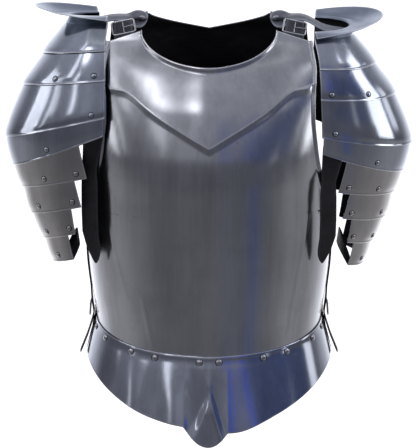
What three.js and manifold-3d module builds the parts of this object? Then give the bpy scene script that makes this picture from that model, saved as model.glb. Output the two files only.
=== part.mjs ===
// Half armour for the upper body: breastplate and backplate, fauld and two laminated pauldrons.
// Millimetres, Z up, the front faces -Y and +X is the wearer's left. The origin is midway between
// the shoulders, level with the underside of the shoulder straps, where the armour sits.

import * as THREE from 'three';
import { mergeVertices } from 'three/addons/utils/BufferGeometryUtils.js';
import Module from 'manifold-3d';

const wasm = await Module();
wasm.setup();

// Driving sizes of the body plates
const bodyHalfWidth = 190;
const chestDepth = 168;
const backDepth = 138;
const waistDrop = 502;
const waistSideRise = 34;
const sectionPower = 2.2;
const seamGap = 6;
const bodySteel = 1.6;
const gap = 0.4;

// Outline of the breastplate
const shoulderHalfWidth = 158;
const neckHalfWidth = 105;
const neckDrop = 62;
const shoulderInnerDrop = 11;
const shoulderOuterDrop = 28;
const armholeDrop = 285;
const chestPointDrop = 180;
const panelStep = 3;
const panelStepRun = 6;
const ridgeHeight = 4;
const ridgeHalfWidth = 26;
const armholeRim = 4;
const neckRim = 4;
const waistTuck = 16;

// Outline of the backplate
const backNeckHalfWidth = 93;
const backNeckDrop = 28;
const backNeckPoint = 0.7;
const backShoulderInnerDrop = -3;
const backShoulderOuterDrop = 18;
const backShoulderHalfWidth = 152;
const backTail = 24;
const backFlare = 9;

// Fauld
const fauldSideDrop = 527;
const fauldFrontDrop = 607;
const fauldPoint = 29;
const fauldPointHalfWidth = 38;
const fauldSkew = 6;
const fauldSkewX = 50;
const fauldSideFlare = 16;
const fauldFrontFlare = 34;
const fauldGap = 0.6;

// Pauldrons
const lameSteel = 1.2;
const pauldronInset = 24;
const pauldronInner = bodyHalfWidth - pauldronInset;
const pauldronReach = 154;
const pauldronHalfDepth = 102;
const pauldronTopDrop = 12;
const pauldronHeight = 373;
const lameOverlap = 12;
const collarReach = 104;
const collarHalfDepth = 60;
const collarNeckReach = 52;
const collarNeckHalfDepth = 44;
const collarNeckDrop = 2;
const collarOuterRise = 16;
const collarPitch = 0.117;
const pauldronPivotReach = 56;
const pauldronPivotX = pauldronInner + pauldronPivotReach;

// Rivets
const rivetHeadRadius = 5;
const rivetHeadHeight = 2.6;
const rivetShankRadius = 2;
const rivetClearance = 0.3;
const lameRivetRadius = 4;
const lameRivetHeight = 2;
const lameRivetSink = 0.6;
const hangerRivetRadius = 5.5;

// Leather and buckles
const leather = 2;
const leatherWidth = 26;
const shoulderStrapX = 132;
const shoulderStrapWidth = 28;
const shoulderStrapThickness = 2.6;
const shoulderStrapLap = 34;
const shoulderStrapEar = 21;
const shoulderCrown = 26;
const hangerWidth = 26;
const hangerThickness = 2.6;
const buckleWidth = 38;
const buckleLength = 25;
const buckleBar = 3.4;
const buckleThickness = 3;
const buckleRise = 2.1;
const sideStrapWidth = 22;
const sideStrapThickness = 2.2;
const sideStrapTopDrop = 352;
const sideStrapEndDrop = 530;
const armStrapWidth = 24;
const armStrapRise = 30;
const armStrapReach = 12;
const tongueDrop = 366;
const tongueReach = 19;
const tongueX = pauldronInner + tongueReach;
const tongueY = -101;
const tongueWidth = 30;

// How many divisions the plates have
const frontColumns = 24;
const backColumns = 18;
const lameColumns = 12;

// Cross-sections of the body, drops as shares of waistDrop, sizes as shares of the named ones
const bodySections = [
  { drop: -0.02, width: 1.21, front: 0.21, back: 0.19 },
  { drop: -0.006, width: 1.21, front: 0.24, back: 0.26 },
  { drop: 0.022, width: 1.21, front: 0.3, back: 0.39 },
  { drop: 0.055, width: 1.21, front: 0.37, back: 0.56 },
  { drop: 0.113, width: 1.168, front: 0.548, back: 0.74 },
  { drop: 0.174, width: 1.132, front: 0.685, back: 0.86 },
  { drop: 0.253, width: 1.079, front: 0.833, back: 0.95 },
  { drop: 0.374, width: 1.042, front: 0.965, back: 1 },
  { drop: 0.45, width: 1.021, front: 1, back: 1 },
  { drop: 0.526, width: 1.005, front: 1, back: 0.985 },
  { drop: 0.648, width: 1, front: 0.988, back: 0.95 },
  { drop: 0.747, width: 0.993, front: 0.97, back: 0.9 },
  { drop: 0.85, width: 0.962, front: 0.943, back: 0.855 },
  { drop: 0.937, width: 0.928, front: 0.92, back: 0.825 },
  { drop: 1, width: 0.912, front: 0.911, back: 0.81 },
  { drop: 1.08, width: 0.9, front: 0.9, back: 0.8 },
];

// Half-breadth of the plates at the armhole, drop as a share of armholeDrop, width of shoulderHalfWidth
const armholeEdge = [
  { drop: 0.03, width: 0.99 },
  { drop: 0.1, width: 1 },
  { drop: 0.225, width: 1.03 },
  { drop: 0.32, width: 1.024 },
  { drop: 0.46, width: 1.018 },
  { drop: 0.545, width: 1.028 },
  { drop: 0.663, width: 1.05 },
  { drop: 0.77, width: 1.078 },
  { drop: 0.885, width: 1.115 },
  { drop: 0.935, width: 1.155 },
  { drop: 1, width: 1.21 },
];

// Lower line of the chest panel, across as a share of shoulderHalfWidth, drop of chestPointDrop
const chestLine = [
  { across: 0, drop: 1 },
  { across: 0.26, drop: 0.872 },
  { across: 0.437, drop: 0.783 },
  { across: 0.595, drop: 0.695 },
  { across: 0.8, drop: 0.567 },
  { across: 0.937, drop: 0.545 },
  { across: 1.05, drop: 0.5 },
];

// Lower edges of the lames, as shares of pauldronHeight, pauldronReach and pauldronHalfDepth.
// The slope is how far the edge rises towards the body, and the wraps are in degrees from the side.
const lames = [
  { drop: 0.125, centre: 0, reach: 0.615, depth: 0.765, slope: 0.07, wrapTop: 87, wrap: 87 },
  { drop: 0.256, centre: 0, reach: 0.822, depth: 0.9, slope: 0.08, wrapTop: 87, wrap: 88 },
  { drop: 0.472, centre: 0, reach: 1, depth: 1, slope: 0.225, wrapTop: 88, wrap: 88 },
  { drop: 0.593, centre: 0.032, reach: 0.893, depth: 0.96, slope: 0.37, wrapTop: 88, wrap: 90 },
  { drop: 0.684, centre: 0.065, reach: 0.767, depth: 0.863, slope: 0.195, wrapTop: 74, wrap: 80 },
  { drop: 0.794, centre: 0.097, reach: 0.647, depth: 0.784, slope: 0.195, wrapTop: 70, wrap: 76 },
  { drop: 0.901, centre: 0.149, reach: 0.4725, depth: 0.686, slope: 0.25, wrapTop: 66, wrap: 70 },
  { drop: 1, centre: 0.194, reach: 0.33, depth: 0.588, slope: 0.25, wrapTop: 59, wrap: 66 },
];
const topRing = { drop: 0, centre: 0, reach: 0.377, depth: 0.49, slope: 0, wrap: 87 };

// Rivets on the lames: which lame, which column of it and from which end of its arc it is counted
const lameRivets = [
  { lame: 2, column: 0 },
  { lame: 2, column: 2 },
  { lame: 3, column: 0 },
  { lame: 4, column: 2 },
  { lame: 5, column: 0 },
  { lame: 5, column: 2 },
  { lame: 6, column: 0 },
  { lame: 6, column: 3 },
  { lame: 7, column: 0 },
  { lame: 7, column: 3 },
  { lame: 8, column: 2 },
];

// How each pauldron sits: lift in millimetres, pitch (front down) and yaw (front outwards) in degrees
const poses = {
  right: { side: -1, lift: 7.5, pitch: -5.5, yaw: 4 },
  left: { side: 1, lift: -7.5, pitch: 5.5, yaw: 4 },
};

// Columns of the fauld that carry a rivet, counted from the centre
const fauldRivetColumns = [0, 3, 5, 8, 10];

const colours = {
  steel: { color: 0x6a6c78, roughness: 0.22, metalness: 1 },
  paleSteel: { color: 0x8c8d95, roughness: 0.3, metalness: 1 },
  black: { color: 0x15151a, roughness: 0.6, metalness: 0 },
  grey: { color: 0x8b919c, roughness: 0.65, metalness: 0 },
};

const armour = new THREE.Group();

function addPiece(parent, name, geometry, colour) {
  const mesh = new THREE.Mesh(geometry, new THREE.MeshStandardMaterial(colours[colour]));
  mesh.name = name;
  parent.add(mesh);
  return mesh;
}

// Interpolation

function mix(a, b, share) {
  return a + (b - a) * share;
}

function degrees(angle) {
  return (angle * Math.PI) / 180;
}

// A smooth curve through the rows of a table, read in column `value` at `at` of column `key`
function smooth(table, key, value, at) {
  const last = table.length - 1;
  let i = 0;
  while (i < last - 1 && at > table[i + 1][key]) i += 1;
  const slopeAt = (k) => {
    const a = table[Math.max(k - 1, 0)];
    const b = table[Math.min(k + 1, last)];
    return (b[value] - a[value]) / (b[key] - a[key]);
  };
  const span = table[i + 1][key] - table[i][key];
  const t = Math.min(Math.max((at - table[i][key]) / span, 0), 1);
  const start = table[i][value];
  const end = table[i + 1][value];
  return (
    (2 * t ** 3 - 3 * t ** 2 + 1) * start +
    (t ** 3 - 2 * t ** 2 + t) * span * slopeAt(i) +
    (3 * t ** 2 - 2 * t ** 3) * end +
    (t ** 3 - t ** 2) * span * slopeAt(i + 1)
  );
}

// Sheets: a grid of outer points, its rows upwards and its columns so that columns x rows is outwards

function gridNormals(grid) {
  const rows = grid.length;
  const columns = grid[0].length;
  return grid.map((row, i) =>
    row.map((point, j) => {
      const across = grid[i][Math.min(j + 1, columns - 1)].clone().sub(grid[i][Math.max(j - 1, 0)]);
      const up = grid[Math.min(i + 1, rows - 1)][j].clone().sub(grid[Math.max(i - 1, 0)][j]);
      return across.cross(up).normalize();
    }),
  );
}

function offsetGrid(grid, distance, normals = gridNormals(grid)) {
  return grid.map((row, i) => row.map((point, j) => point.clone().addScaledVector(normals[i][j], distance)));
}

function sheet(grid, thickness) {
  const inner = offsetGrid(grid, -thickness);
  const rows = grid.length;
  const columns = grid[0].length;
  const positions = [...grid.flat(), ...inner.flat()].flatMap((point) => point.toArray());
  const outside = (i, j) => i * columns + j;
  const inside = (i, j) => rows * columns + i * columns + j;
  const faces = [];
  const quad = (a, b, c, d) => faces.push(a, b, c, a, c, d);
  for (let i = 0; i < rows - 1; i += 1) {
    for (let j = 0; j < columns - 1; j += 1) {
      quad(outside(i, j), outside(i, j + 1), outside(i + 1, j + 1), outside(i + 1, j));
      quad(inside(i, j), inside(i + 1, j), inside(i + 1, j + 1), inside(i, j + 1));
    }
  }
  for (let j = 0; j < columns - 1; j += 1) {
    quad(inside(0, j), inside(0, j + 1), outside(0, j + 1), outside(0, j));
    quad(outside(rows - 1, j), outside(rows - 1, j + 1), inside(rows - 1, j + 1), inside(rows - 1, j));
  }
  for (let i = 0; i < rows - 1; i += 1) {
    quad(outside(i, 0), outside(i + 1, 0), inside(i + 1, 0), inside(i, 0));
    const j = columns - 1;
    quad(inside(i, j), inside(i + 1, j), outside(i + 1, j), outside(i, j));
  }
  return meshOf(positions, faces);
}

function meshOf(positions, faces) {
  const geometry = new THREE.BufferGeometry();
  geometry.setAttribute('position', new THREE.Float32BufferAttribute(positions, 3));
  geometry.setIndex(faces);
  return geometry;
}

function mirrored(grid, side) {
  if (side > 0) return grid;
  return grid.map((row) => row.map((point) => new THREE.Vector3(-point.x, point.y, point.z)).reverse());
}

// Boolean joins and cuts of two closed meshes

function solidOf(geometry) {
  const positions = geometry.getAttribute('position').array;
  const faces = geometry.getIndex().array;
  const mesh = { numProp: 3, vertProperties: new Float32Array(positions), triVerts: new Uint32Array(faces) };
  return new wasm.Manifold(new wasm.Mesh(mesh));
}

function geometryOf(solid) {
  const mesh = solid.getMesh();
  return meshOf(Array.from(mesh.vertProperties), Array.from(mesh.triVerts));
}

function box(width, length, height) {
  const geometry = new THREE.BoxGeometry(width, length, height);
  geometry.deleteAttribute('normal');
  geometry.deleteAttribute('uv');
  return mergeVertices(geometry);
}

// A body turned about the Z axis, from a closed profile of [radius, height] between two axis points
function turned(profile, sides) {
  const positions = [0, 0, profile[0][1], 0, 0, profile.at(-1)[1]];
  const faces = [];
  const rings = profile.slice(1, -1);
  rings.forEach(([radius, height]) => {
    for (let k = 0; k < sides; k += 1) {
      const angle = (2 * Math.PI * k) / sides;
      positions.push(radius * Math.cos(angle), radius * Math.sin(angle), height);
    }
  });
  const at = (ring, k) => 2 + ring * sides + (k % sides);
  for (let k = 0; k < sides; k += 1) {
    faces.push(0, at(0, k + 1), at(0, k));
    faces.push(1, at(rings.length - 1, k), at(rings.length - 1, k + 1));
    for (let ring = 0; ring < rings.length - 1; ring += 1) {
      faces.push(at(ring, k), at(ring, k + 1), at(ring + 1, k + 1));
      faces.push(at(ring, k), at(ring + 1, k + 1), at(ring + 1, k));
    }
  }
  return meshOf(positions, faces);
}

function placed(geometry, origin, axis, along = null) {
  const z = axis.clone().normalize();
  const guide = along ?? (Math.abs(z.z) < 0.9 ? new THREE.Vector3(0, 0, 1) : new THREE.Vector3(1, 0, 0));
  const x = guide.clone().addScaledVector(z, -guide.dot(z)).normalize();
  const y = z.clone().cross(x);
  return geometry.applyMatrix4(new THREE.Matrix4().makeBasis(x, y, z).setPosition(origin));
}

// Middle and normal of one facet of a grid
function facet(grid, i, j) {
  const corners = [grid[i][j], grid[i][j + 1], grid[i + 1][j + 1], grid[i + 1][j]];
  const centre = new THREE.Vector3();
  corners.forEach((corner) => centre.addScaledVector(corner, 0.25));
  const across = corners[1].clone().add(corners[2]).sub(corners[0]).sub(corners[3]);
  const up = corners[3].clone().add(corners[2]).sub(corners[0]).sub(corners[1]);
  return { centre, normal: across.cross(up).normalize() };
}

// The body's surface

function halfWidthAt(drop) {
  return bodyHalfWidth * smooth(bodySections, 'drop', 'width', drop / waistDrop);
}

function armholeX(drop) {
  return shoulderHalfWidth * smooth(armholeEdge, 'drop', 'width', drop / armholeDrop);
}

function bodyPoint(face, x, drop) {
  const front = face === 'front';
  const depth = (front ? chestDepth : backDepth) * smooth(bodySections, 'drop', face, drop / waistDrop);
  const share = Math.min(Math.abs(x) / halfWidthAt(drop), 1);
  let y = depth * (1 - share ** sectionPower) ** (1 / sectionPower);
  if (front) y += ridgeHeight * Math.exp(-((x / ridgeHalfWidth) ** 2));
  const away = seamGap / 2 + y;
  return new THREE.Vector3(x, front ? -away : away, -drop);
}

function bodyNormal(face, x, drop) {
  const step = 1;
  const limit = halfWidthAt(drop) - step;
  const middle = Math.sign(x) * Math.min(Math.abs(x), limit);
  const across = bodyPoint(face, middle + step, drop).sub(bodyPoint(face, middle - step, drop));
  const up = bodyPoint(face, middle, drop - step).sub(bodyPoint(face, middle, drop + step));
  const normal = across.cross(up).normalize();
  return face === 'front' ? normal : normal.negate();
}

// How far across a column lies at a drop: on the seam below the armhole, on its edge above
function acrossAt(share, drop) {
  const halfWidth = halfWidthAt(drop);
  const edge = drop < armholeDrop ? Math.min(armholeX(drop) / halfWidth, 1) : 1;
  const power = 2 / sectionPower;
  const widest = Math.asin(edge ** (1 / power));
  return Math.sign(share) * halfWidth * Math.sin(Math.abs(share) * widest) ** power;
}

function waistLine(share) {
  return waistDrop - waistSideRise * (1 - Math.cos(degrees(90 * share)));
}

function chestLineAt(x) {
  return chestPointDrop * smooth(chestLine, 'across', 'drop', Math.abs(x) / shoulderHalfWidth);
}

// Top outline for a column at `share`: the neckline, an arc or with neck.point a V, then the straight
// shoulder edge
function topOutline(share, neckShare, neck, shoulder) {
  const part = Math.abs(share);
  const sign = Math.sign(share);
  if (part <= neckShare) {
    const angle = degrees((90 * part) / neckShare);
    const hollow = mix(Math.cos(angle), 1 - Math.sin(angle), neck.point);
    return { x: sign * neck.x * Math.sin(angle), drop: mix(shoulder.inner, neck.drop, hollow) };
  }
  const t = (part - neckShare) / (1 - neckShare);
  return { x: sign * mix(neck.x, shoulder.x, t), drop: mix(shoulder.inner, shoulder.outer, t) };
}

const frontNeck = { x: neckHalfWidth, drop: neckDrop, point: 0 };
const frontShoulder = { x: shoulderHalfWidth, inner: shoulderInnerDrop, outer: shoulderOuterDrop };
const backNeck = { x: backNeckHalfWidth, drop: backNeckDrop, point: backNeckPoint };
const backShoulder = { x: backShoulderHalfWidth, inner: backShoulderInnerDrop, outer: backShoulderOuterDrop };
const neckShare = 8 / 12;

// Shares of a plate's side, below and above the foot of the armhole
const belowArmhole = [0, 0.15, 0.45, 0.75, 1];
const aboveArmhole = [0.03, 0.1, 0.2, 0.36, 0.56, 0.78, 1];
const panelRows = [0, 0.2, 0.45, 0.72, 1];

function shares(columns) {
  return Array.from({ length: columns + 1 }, (unused, j) => (2 * j) / columns - 1);
}

// Rim height along the armhole: nothing on the side seam, full a little above its foot
function rimAt(share, drop, height) {
  if (Math.abs(share) < 1 || drop >= armholeDrop) return 0;
  return height * Math.min((armholeDrop - drop) / (0.15 * armholeDrop), 1);
}

function frontPoint(share, x, drop, proud) {
  const rise = proud + rimAt(share, drop, armholeRim);
  return bodyPoint('front', x, drop).addScaledVector(bodyNormal('front', x, drop), rise);
}

function chestFoot(share) {
  let drop = chestPointDrop * 0.7;
  for (let pass = 0; pass < 6; pass += 1) drop = chestLineAt(acrossAt(share, drop));
  return drop;
}

function breastplateGrid() {
  const sideFoot = waistLine(1) + waistTuck;
  const sideTop = chestFoot(1);
  const sideDrops = [
    ...belowArmhole.map((t) => mix(sideFoot, armholeDrop, t)),
    ...aboveArmhole.map((t) => mix(armholeDrop, sideTop, t)),
  ];
  const columns = shares(frontColumns);
  const lower = sideDrops.map((sideDrop) => {
    const t = (sideFoot - sideDrop) / (sideFoot - sideTop);
    return columns.map((share) => {
      const drop = mix(waistLine(share) + waistTuck, chestFoot(share), t);
      const low = acrossAt(share, mix(drop, sideDrop, Math.abs(share) ** 6));
      return frontPoint(share, low, drop, 0);
    });
  });
  const upper = panelRows.map((t) =>
    columns.map((share) => {
      const foot = chestFoot(share);
      const top = topOutline(share, neckShare, frontNeck, frontShoulder);
      const drop = mix(foot - panelStepRun, top.drop, t);
      const drift = Math.sign(share) * armholeX(drop) - mix(acrossAt(Math.sign(share), foot),
        Math.sign(share) * shoulderHalfWidth, t);
      const x = mix(acrossAt(share, foot), top.x, t) + drift * Math.abs(share) ** 4;
      const rolled = t === 1 && Math.abs(share) <= neckShare ? neckRim : 0;
      return frontPoint(share, x, drop, mix(panelStep, 1, t) + rolled);
    }),
  );
  return [...lower, ...upper];
}

function backplateGrid() {
  const sideFoot = waistLine(1) + backTail;
  const sideDrops = [
    ...belowArmhole.map((t) => mix(sideFoot, armholeDrop, t)),
    ...aboveArmhole.map((t) => mix(armholeDrop, backShoulderOuterDrop, t)),
  ];
  const columns = shares(backColumns);
  const rows = sideDrops.map((sideDrop, i) => {
    const t = (sideFoot - sideDrop) / (sideFoot - backShoulderOuterDrop);
    return columns.map((share) => {
      const top = topOutline(share, neckShare, backNeck, backShoulder);
      const drop = mix(waistLine(share) + backTail, top.drop, t);
      const raised = Math.max((armholeDrop - sideDrop) / (armholeDrop - backShoulderOuterDrop), 0);
      const low = acrossAt(share, mix(drop, sideDrop, Math.abs(share) ** 6));
      const edge = Math.sign(share) * (armholeX(drop) - backShoulderHalfWidth) * Math.abs(share) ** 4;
      const x = mix(low, top.x + edge * (1 - raised), raised ** 2);
      const flare = i === 0 ? backFlare : 0;
      const normal = bodyNormal('back', x, drop);
      return bodyPoint('back', x, drop).addScaledVector(normal, flare + rimAt(share, drop, armholeRim / 2));
    });
  });
  return rows.map((row) => row.reverse());
}

// Fauld: it follows the breastplate's foot in a band, then flares out to a pointed lower edge
function fauldGrid(breastplate) {
  const columns = shares(frontColumns);
  const normals = gridNormals(breastplate);
  const over = bodySteel + fauldGap;
  const foot = breastplate[0].map((point, j) => point.clone().addScaledVector(normals[0][j], over));
  const top = breastplate[1].map((point, j) => {
    const upper = point.clone().addScaledVector(normals[1][j], over);
    const share = waistTuck / Math.max(foot[j].distanceTo(upper), waistTuck);
    return foot[j].clone().lerp(upper, share);
  });
  const flared = [0.3, 0.65, 1].map((t) =>
    columns.map((share, j) => {
      const cosine = Math.cos(degrees(90 * share));
      const start = foot[j];
      const dip = Math.abs(start.x) < fauldPointHalfWidth
        ? Math.cos((Math.PI * start.x) / (2 * fauldPointHalfWidth)) ** 2 : 0;
      const skew = fauldSkew * Math.exp(-(((start.x - fauldSkewX) / (0.7 * fauldSkewX)) ** 2));
      const low = mix(fauldSideDrop, fauldFrontDrop, cosine ** 1.5) + fauldPoint * dip + skew;
      const swing = t ** 0.8;
      const x = start.x * (1 + (fauldSideFlare / halfWidthAt(waistDrop)) * swing);
      const y = start.y - fauldFrontFlare * cosine * swing;
      return new THREE.Vector3(x, y, mix(start.z, -low, t));
    }),
  );
  return [...flared.reverse(), foot, top];
}

const breastplate = breastplateGrid();
const backplate = backplateGrid();
const fauld = fauldGrid(breastplate);

// A rivet through two plates: its head outside, its burred end inside, on the axis of a facet
function rivetGeometry(grip, head) {
  const under = rivetClearance;
  const inner = -grip - rivetClearance;
  return turned([
    [0, inner - 1],
    [rivetShankRadius * 1.6, inner - 1],
    [rivetShankRadius * 1.6, inner],
    [rivetShankRadius, inner],
    [rivetShankRadius, under],
    [head, under],
    [head * 0.75, under + rivetHeadHeight * 0.7],
    [0, under + rivetHeadHeight],
  ], 7);
}

function makeBody() {
  const bandFacet = fauld.length - 2;
  const middle = frontColumns / 2;
  const places = fauldRivetColumns.flatMap((column) => [middle - 1 - column, middle + column]);
  places.sort((a, b) => a - b);
  let breast = solidOf(sheet(breastplate, bodySteel));
  let skirt = solidOf(sheet(fauld, bodySteel));
  const grip = 2 * bodySteel + fauldGap;
  places.forEach((column, k) => {
    const { centre, normal } = facet(fauld, bandFacet, column);
    const radius = rivetShankRadius + rivetClearance;
    const drill = turned([[0, -grip * 2], [radius, -grip * 2], [radius, grip], [0, grip]], 8);
    const hole = solidOf(placed(drill, centre, normal));
    breast = breast.subtract(hole);
    skirt = skirt.subtract(hole);
    addPiece(armour, `fauld_rivet_${k + 1}`, placed(rivetGeometry(grip, rivetHeadRadius), centre, normal), 'paleSteel');
  });
  addPiece(armour, 'breastplate', geometryOf(breast), 'steel');
  addPiece(armour, 'fauld_front', geometryOf(skirt), 'steel');
  addPiece(armour, 'backplate', sheet(backplate, bodySteel), 'steel');
}

// Pauldrons, worked out for the wearer's left and mirrored for the right

function ringPoint(ring, share, wrap) {
  const angle = degrees(wrap * share);
  const centre = pauldronInner + ring.centre * pauldronReach;
  const reach = ring.reach * pauldronReach;
  const x = centre + reach * Math.cos(angle);
  const y = ring.depth * pauldronHalfDepth * Math.sin(angle);
  const z = -pauldronTopDrop - ring.drop * pauldronHeight + ring.slope * (centre + reach - x);
  return new THREE.Vector3(x, y, z);
}

function along(row, share) {
  const place = ((share + 1) / 2) * (row.length - 1);
  const j = Math.min(Math.max(Math.floor(place), 0), row.length - 2);
  return row[j].clone().lerp(row[j + 1], place - j);
}

function lameGrids() {
  const grids = [];
  const columns = shares(lameColumns);
  lames.forEach((lame, i) => {
    const before = i === 0 ? topRing : lames[i - 1];
    const edge = columns.map((share) => ringPoint(lame, share, lame.wrap));
    let seat;
    if (i === 0) {
      seat = [columns.map((share) => ringPoint(topRing, share, topRing.wrap))];
    } else {
      const tucked = offsetGrid(grids[i - 1], -(lameSteel + gap));
      const trim = lame.wrapTop / before.wrap;
      seat = [0, 1].map((row) => columns.map((share) => along(tucked[row], share * trim)));
    }
    const emerging = seat[0];
    const swell = columns.map((share, j) => {
      const height = edge[j].distanceTo(emerging[j]);
      const point = edge[j].clone().lerp(emerging[j], Math.min(lameOverlap / height, 0.6));
      const out = new THREE.Vector3(Math.cos(degrees(lame.wrap * share)), Math.sin(degrees(lame.wrap * share)), 0);
      return point.addScaledVector(out, height * 0.03);
    });
    grids.push([edge, swell, ...seat]);
  });
  return grids;
}

function collarGrid(first) {
  const columns = shares(lameColumns);
  const tucked = offsetGrid(first, -(lameSteel + gap));
  const rim = tucked.at(-1);
  const low = rim.map((point, j) => point.clone().lerp(tucked.at(-2)[j], 0.35));
  const ring = (reach, halfDepth, rise) => columns.map((share) => {
    const angle = degrees(topRing.wrap * share);
    const y = halfDepth * Math.sin(angle);
    const z = -collarNeckDrop + rise * (Math.cos(angle) * collarOuterRise + collarPitch * y);
    return new THREE.Vector3(pauldronInner + reach * Math.cos(angle), y, z);
  });
  const halfway = ring(mix(collarNeckReach, collarReach, 0.45), mix(collarNeckHalfDepth, collarHalfDepth, 0.45), 0.2);
  return [low, rim, ring(collarNeckReach, collarNeckHalfDepth, 0), halfway, ring(collarReach, collarHalfDepth, 1)];
}

// Leather strip down the inside of the lames, between two places across them
function leatherRows(grids, from, to) {
  const rows = [];
  grids.forEach((grid, i) => {
    const inner = offsetGrid(grid, -(lameSteel + 2 * gap));
    const first = () => [inner[1].map((point, j) => point.clone().lerp(inner[2][j], 0.4))];
    const seats = i === 0 ? first() : [inner[3], inner[2]];
    seats.forEach((row) => rows.push([along(row, from), along(row, to)]));
  });
  return rows.reverse();
}

const grids = lameGrids();

function lameGeometry(index, side) {
  const grid = mirrored(grids[index], side);
  const last = lameColumns - 1;
  let solid = solidOf(sheet(grid, lameSteel));
  lameRivets.filter((rivet) => rivet.lame === index + 1).forEach((rivet) => {
    [rivet.column, last - rivet.column].forEach((column) => {
      const { centre, normal } = facet(grid, 0, column);
      const head = turned([
        [0, -lameRivetSink],
        [lameRivetRadius, -lameRivetSink],
        [lameRivetRadius, 0.3],
        [0, lameRivetHeight],
      ], 6);
      solid = solid.add(solidOf(placed(head, centre, normal)));
    });
  });
  return geometryOf(solid);
}

function makePauldron(name, pose) {
  const pivot = new THREE.Group();
  pivot.position.set(pose.side * pauldronPivotX, 0, pose.lift);
  pivot.rotation.set(degrees(pose.pitch), 0, degrees(pose.yaw), 'ZYX');
  const group = new THREE.Group();
  group.position.x = -pose.side * pauldronPivotX;
  pivot.add(group);
  armour.add(pivot);
  pivot.updateMatrixWorld(true);
  grids.forEach((grid, i) => addPiece(group, `${name}_lame_${i + 1}`, lameGeometry(i, pose.side), 'steel'));
  addPiece(group, `${name}_collar`, sheet(mirrored(collarGrid(grids[0]), pose.side), lameSteel), 'paleSteel');
  const wide = (leatherWidth / pauldronReach) * 0.6;
  const strips = [
    { part: 'front', at: -0.62 },
    { part: 'rear', at: 0.62 },
  ];
  strips.forEach(({ part, at }) => {
    const rows = mirrored(leatherRows(grids, at - wide / 2, at + wide / 2), pose.side);
    addPiece(group, `${name}_leather_${part}`, sheet(rows, leather), 'black');
  });
  addPiece(group, `${name}_arm_strap`, armStrap(pose.side), 'black');
  addPiece(group, `${name}_tongue`, tongue(pose.side, group), 'black');
  return group;
}

// Black strap that closes the lowest lame round the arm on the body side
function armStrap(side) {
  const inner = offsetGrid(grids.at(-1), -(lameSteel + gap));
  const low = inner[0];
  const high = inner[1];
  const ends = [low.at(-1), high.at(-1), low[0], high[0]];
  const rows = [0, 1].map((row) => {
    const rear = along(row === 0 ? low : high, 0.86);
    const rearEnd = ends[row];
    const front = along(row === 0 ? low : high, -0.86);
    const frontEnd = ends[row + 2];
    const loop = [-1, -0.6, -0.2, 0.2, 0.6, 1].map((t) => {
      const point = rearEnd.clone().lerp(frontEnd, (t + 1) / 2);
      const bow = 1 - t * t;
      point.x -= armStrapReach * bow;
      point.z += (armStrapRise - 12) * bow + (row === 1 ? (armStrapWidth - 12) * bow : 0);
      return point;
    });
    return [rear, ...loop, front];
  });
  return sheet(mirrored(rows, side), leather);
}

// Free pointed end of the front leather, hanging beside the body below the fourth lame
function tongue(side, group) {
  const inner = offsetGrid(grids[3], -(lameSteel + gap));
  const head = [-1, -0.86].map((share) => along(inner[1], share));
  const foot = [-1, -0.86].map((share) => along(inner[0], share));
  const level = foot[0].clone().setX(side * foot[0].x).applyMatrix4(group.matrixWorld).z;
  const plumb = group.matrixWorld.clone().invert();
  const hang = [
    { drop: 0.25, width: 0.9 },
    { drop: 0.8, width: 1 },
    { drop: 0.92, width: 0.67 },
    { drop: 1, width: 0.1 },
  ];
  const rows = hang.map(({ drop, width }) => {
    const middle = new THREE.Vector3(tongueX, tongueY, mix(level, -tongueDrop, drop));
    return [-0.5, 0.5].map((edge) => {
      const point = middle.clone().add(new THREE.Vector3(0.8, 0.6, 0).multiplyScalar(edge * width * tongueWidth));
      point.x *= side;
      point.applyMatrix4(plumb);
      point.x *= side;
      return point;
    });
  });
  return sheet(mirrored([...rows.reverse(), foot, head], side), leather);
}

// Straps on the shoulders

function stripAlong(points, width, thickness, across) {
  const rows = points.map((point) =>
    [-0.5, 0.5].map((share) => point.clone().addScaledVector(across, share * width)));
  return sheet(rows, thickness);
}

// How low a plate's shoulder edge lies at x
function shoulderEdge(neck, shoulder, x) {
  return mix(shoulder.inner, shoulder.outer, (Math.abs(x) - neck.x) / (shoulder.x - neck.x));
}

function shoulderLap(face, x, share) {
  const front = face === 'front';
  const edge = front ? shoulderEdge(frontNeck, frontShoulder, x) : shoulderEdge(backNeck, backShoulder, x);
  const drop = edge + shoulderStrapLap * share;
  const clear = front ? -bodySteel - gap : shoulderStrapThickness + 4 * gap;
  return bodyPoint(face, x, drop).addScaledVector(bodyNormal(face, x, drop), clear);
}

// A shoulder strap from inside the breastplate, over the top, to the outside of the backplate. It is wider towards the neck
// on top and behind, where the pauldron strap is riveted to it.
function shoulderStrapRows(side) {
  const crown = (y) => (x) => new THREE.Vector3(x, y, shoulderStrapThickness);
  const stations = [
    ...[1, 0.5, 0].map((t) => (x) => shoulderLap('front', x, t)),
    crown(-0.5 * shoulderCrown),
    crown(-0.4 * shoulderCrown),
    crown(0.5 * shoulderCrown),
    ...[0, 0.5, 1].map((t) => (x) => shoulderLap('back', x, t)),
  ];
  return stations.map((station, i) => {
    const outer = station(side * (shoulderStrapX + shoulderStrapWidth / 2));
    const ear = i > 3 ? shoulderStrapEar : 0;
    const inner = station(side * (shoulderStrapX - shoulderStrapWidth / 2 - ear));
    return side > 0 ? [inner, outer] : [outer, inner];
  });
}

// Buckle frame with its pin across the middle of the opening, its back at z = 0
function buckleGeometry(width, length) {
  const pin = buckleBar * 0.7;
  const reach = width / 2 - buckleBar - pin / 2;
  let frame = solidOf(box(width, length, buckleThickness));
  [-1, 1].forEach((half) => {
    const opening = box(reach, length - 2 * buckleBar, buckleThickness * 2);
    opening.translate((half * (reach + pin)) / 2, 0, 0);
    frame = frame.subtract(solidOf(opening));
  });
  return geometryOf(frame).translate(0, 0, buckleThickness / 2);
}

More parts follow.
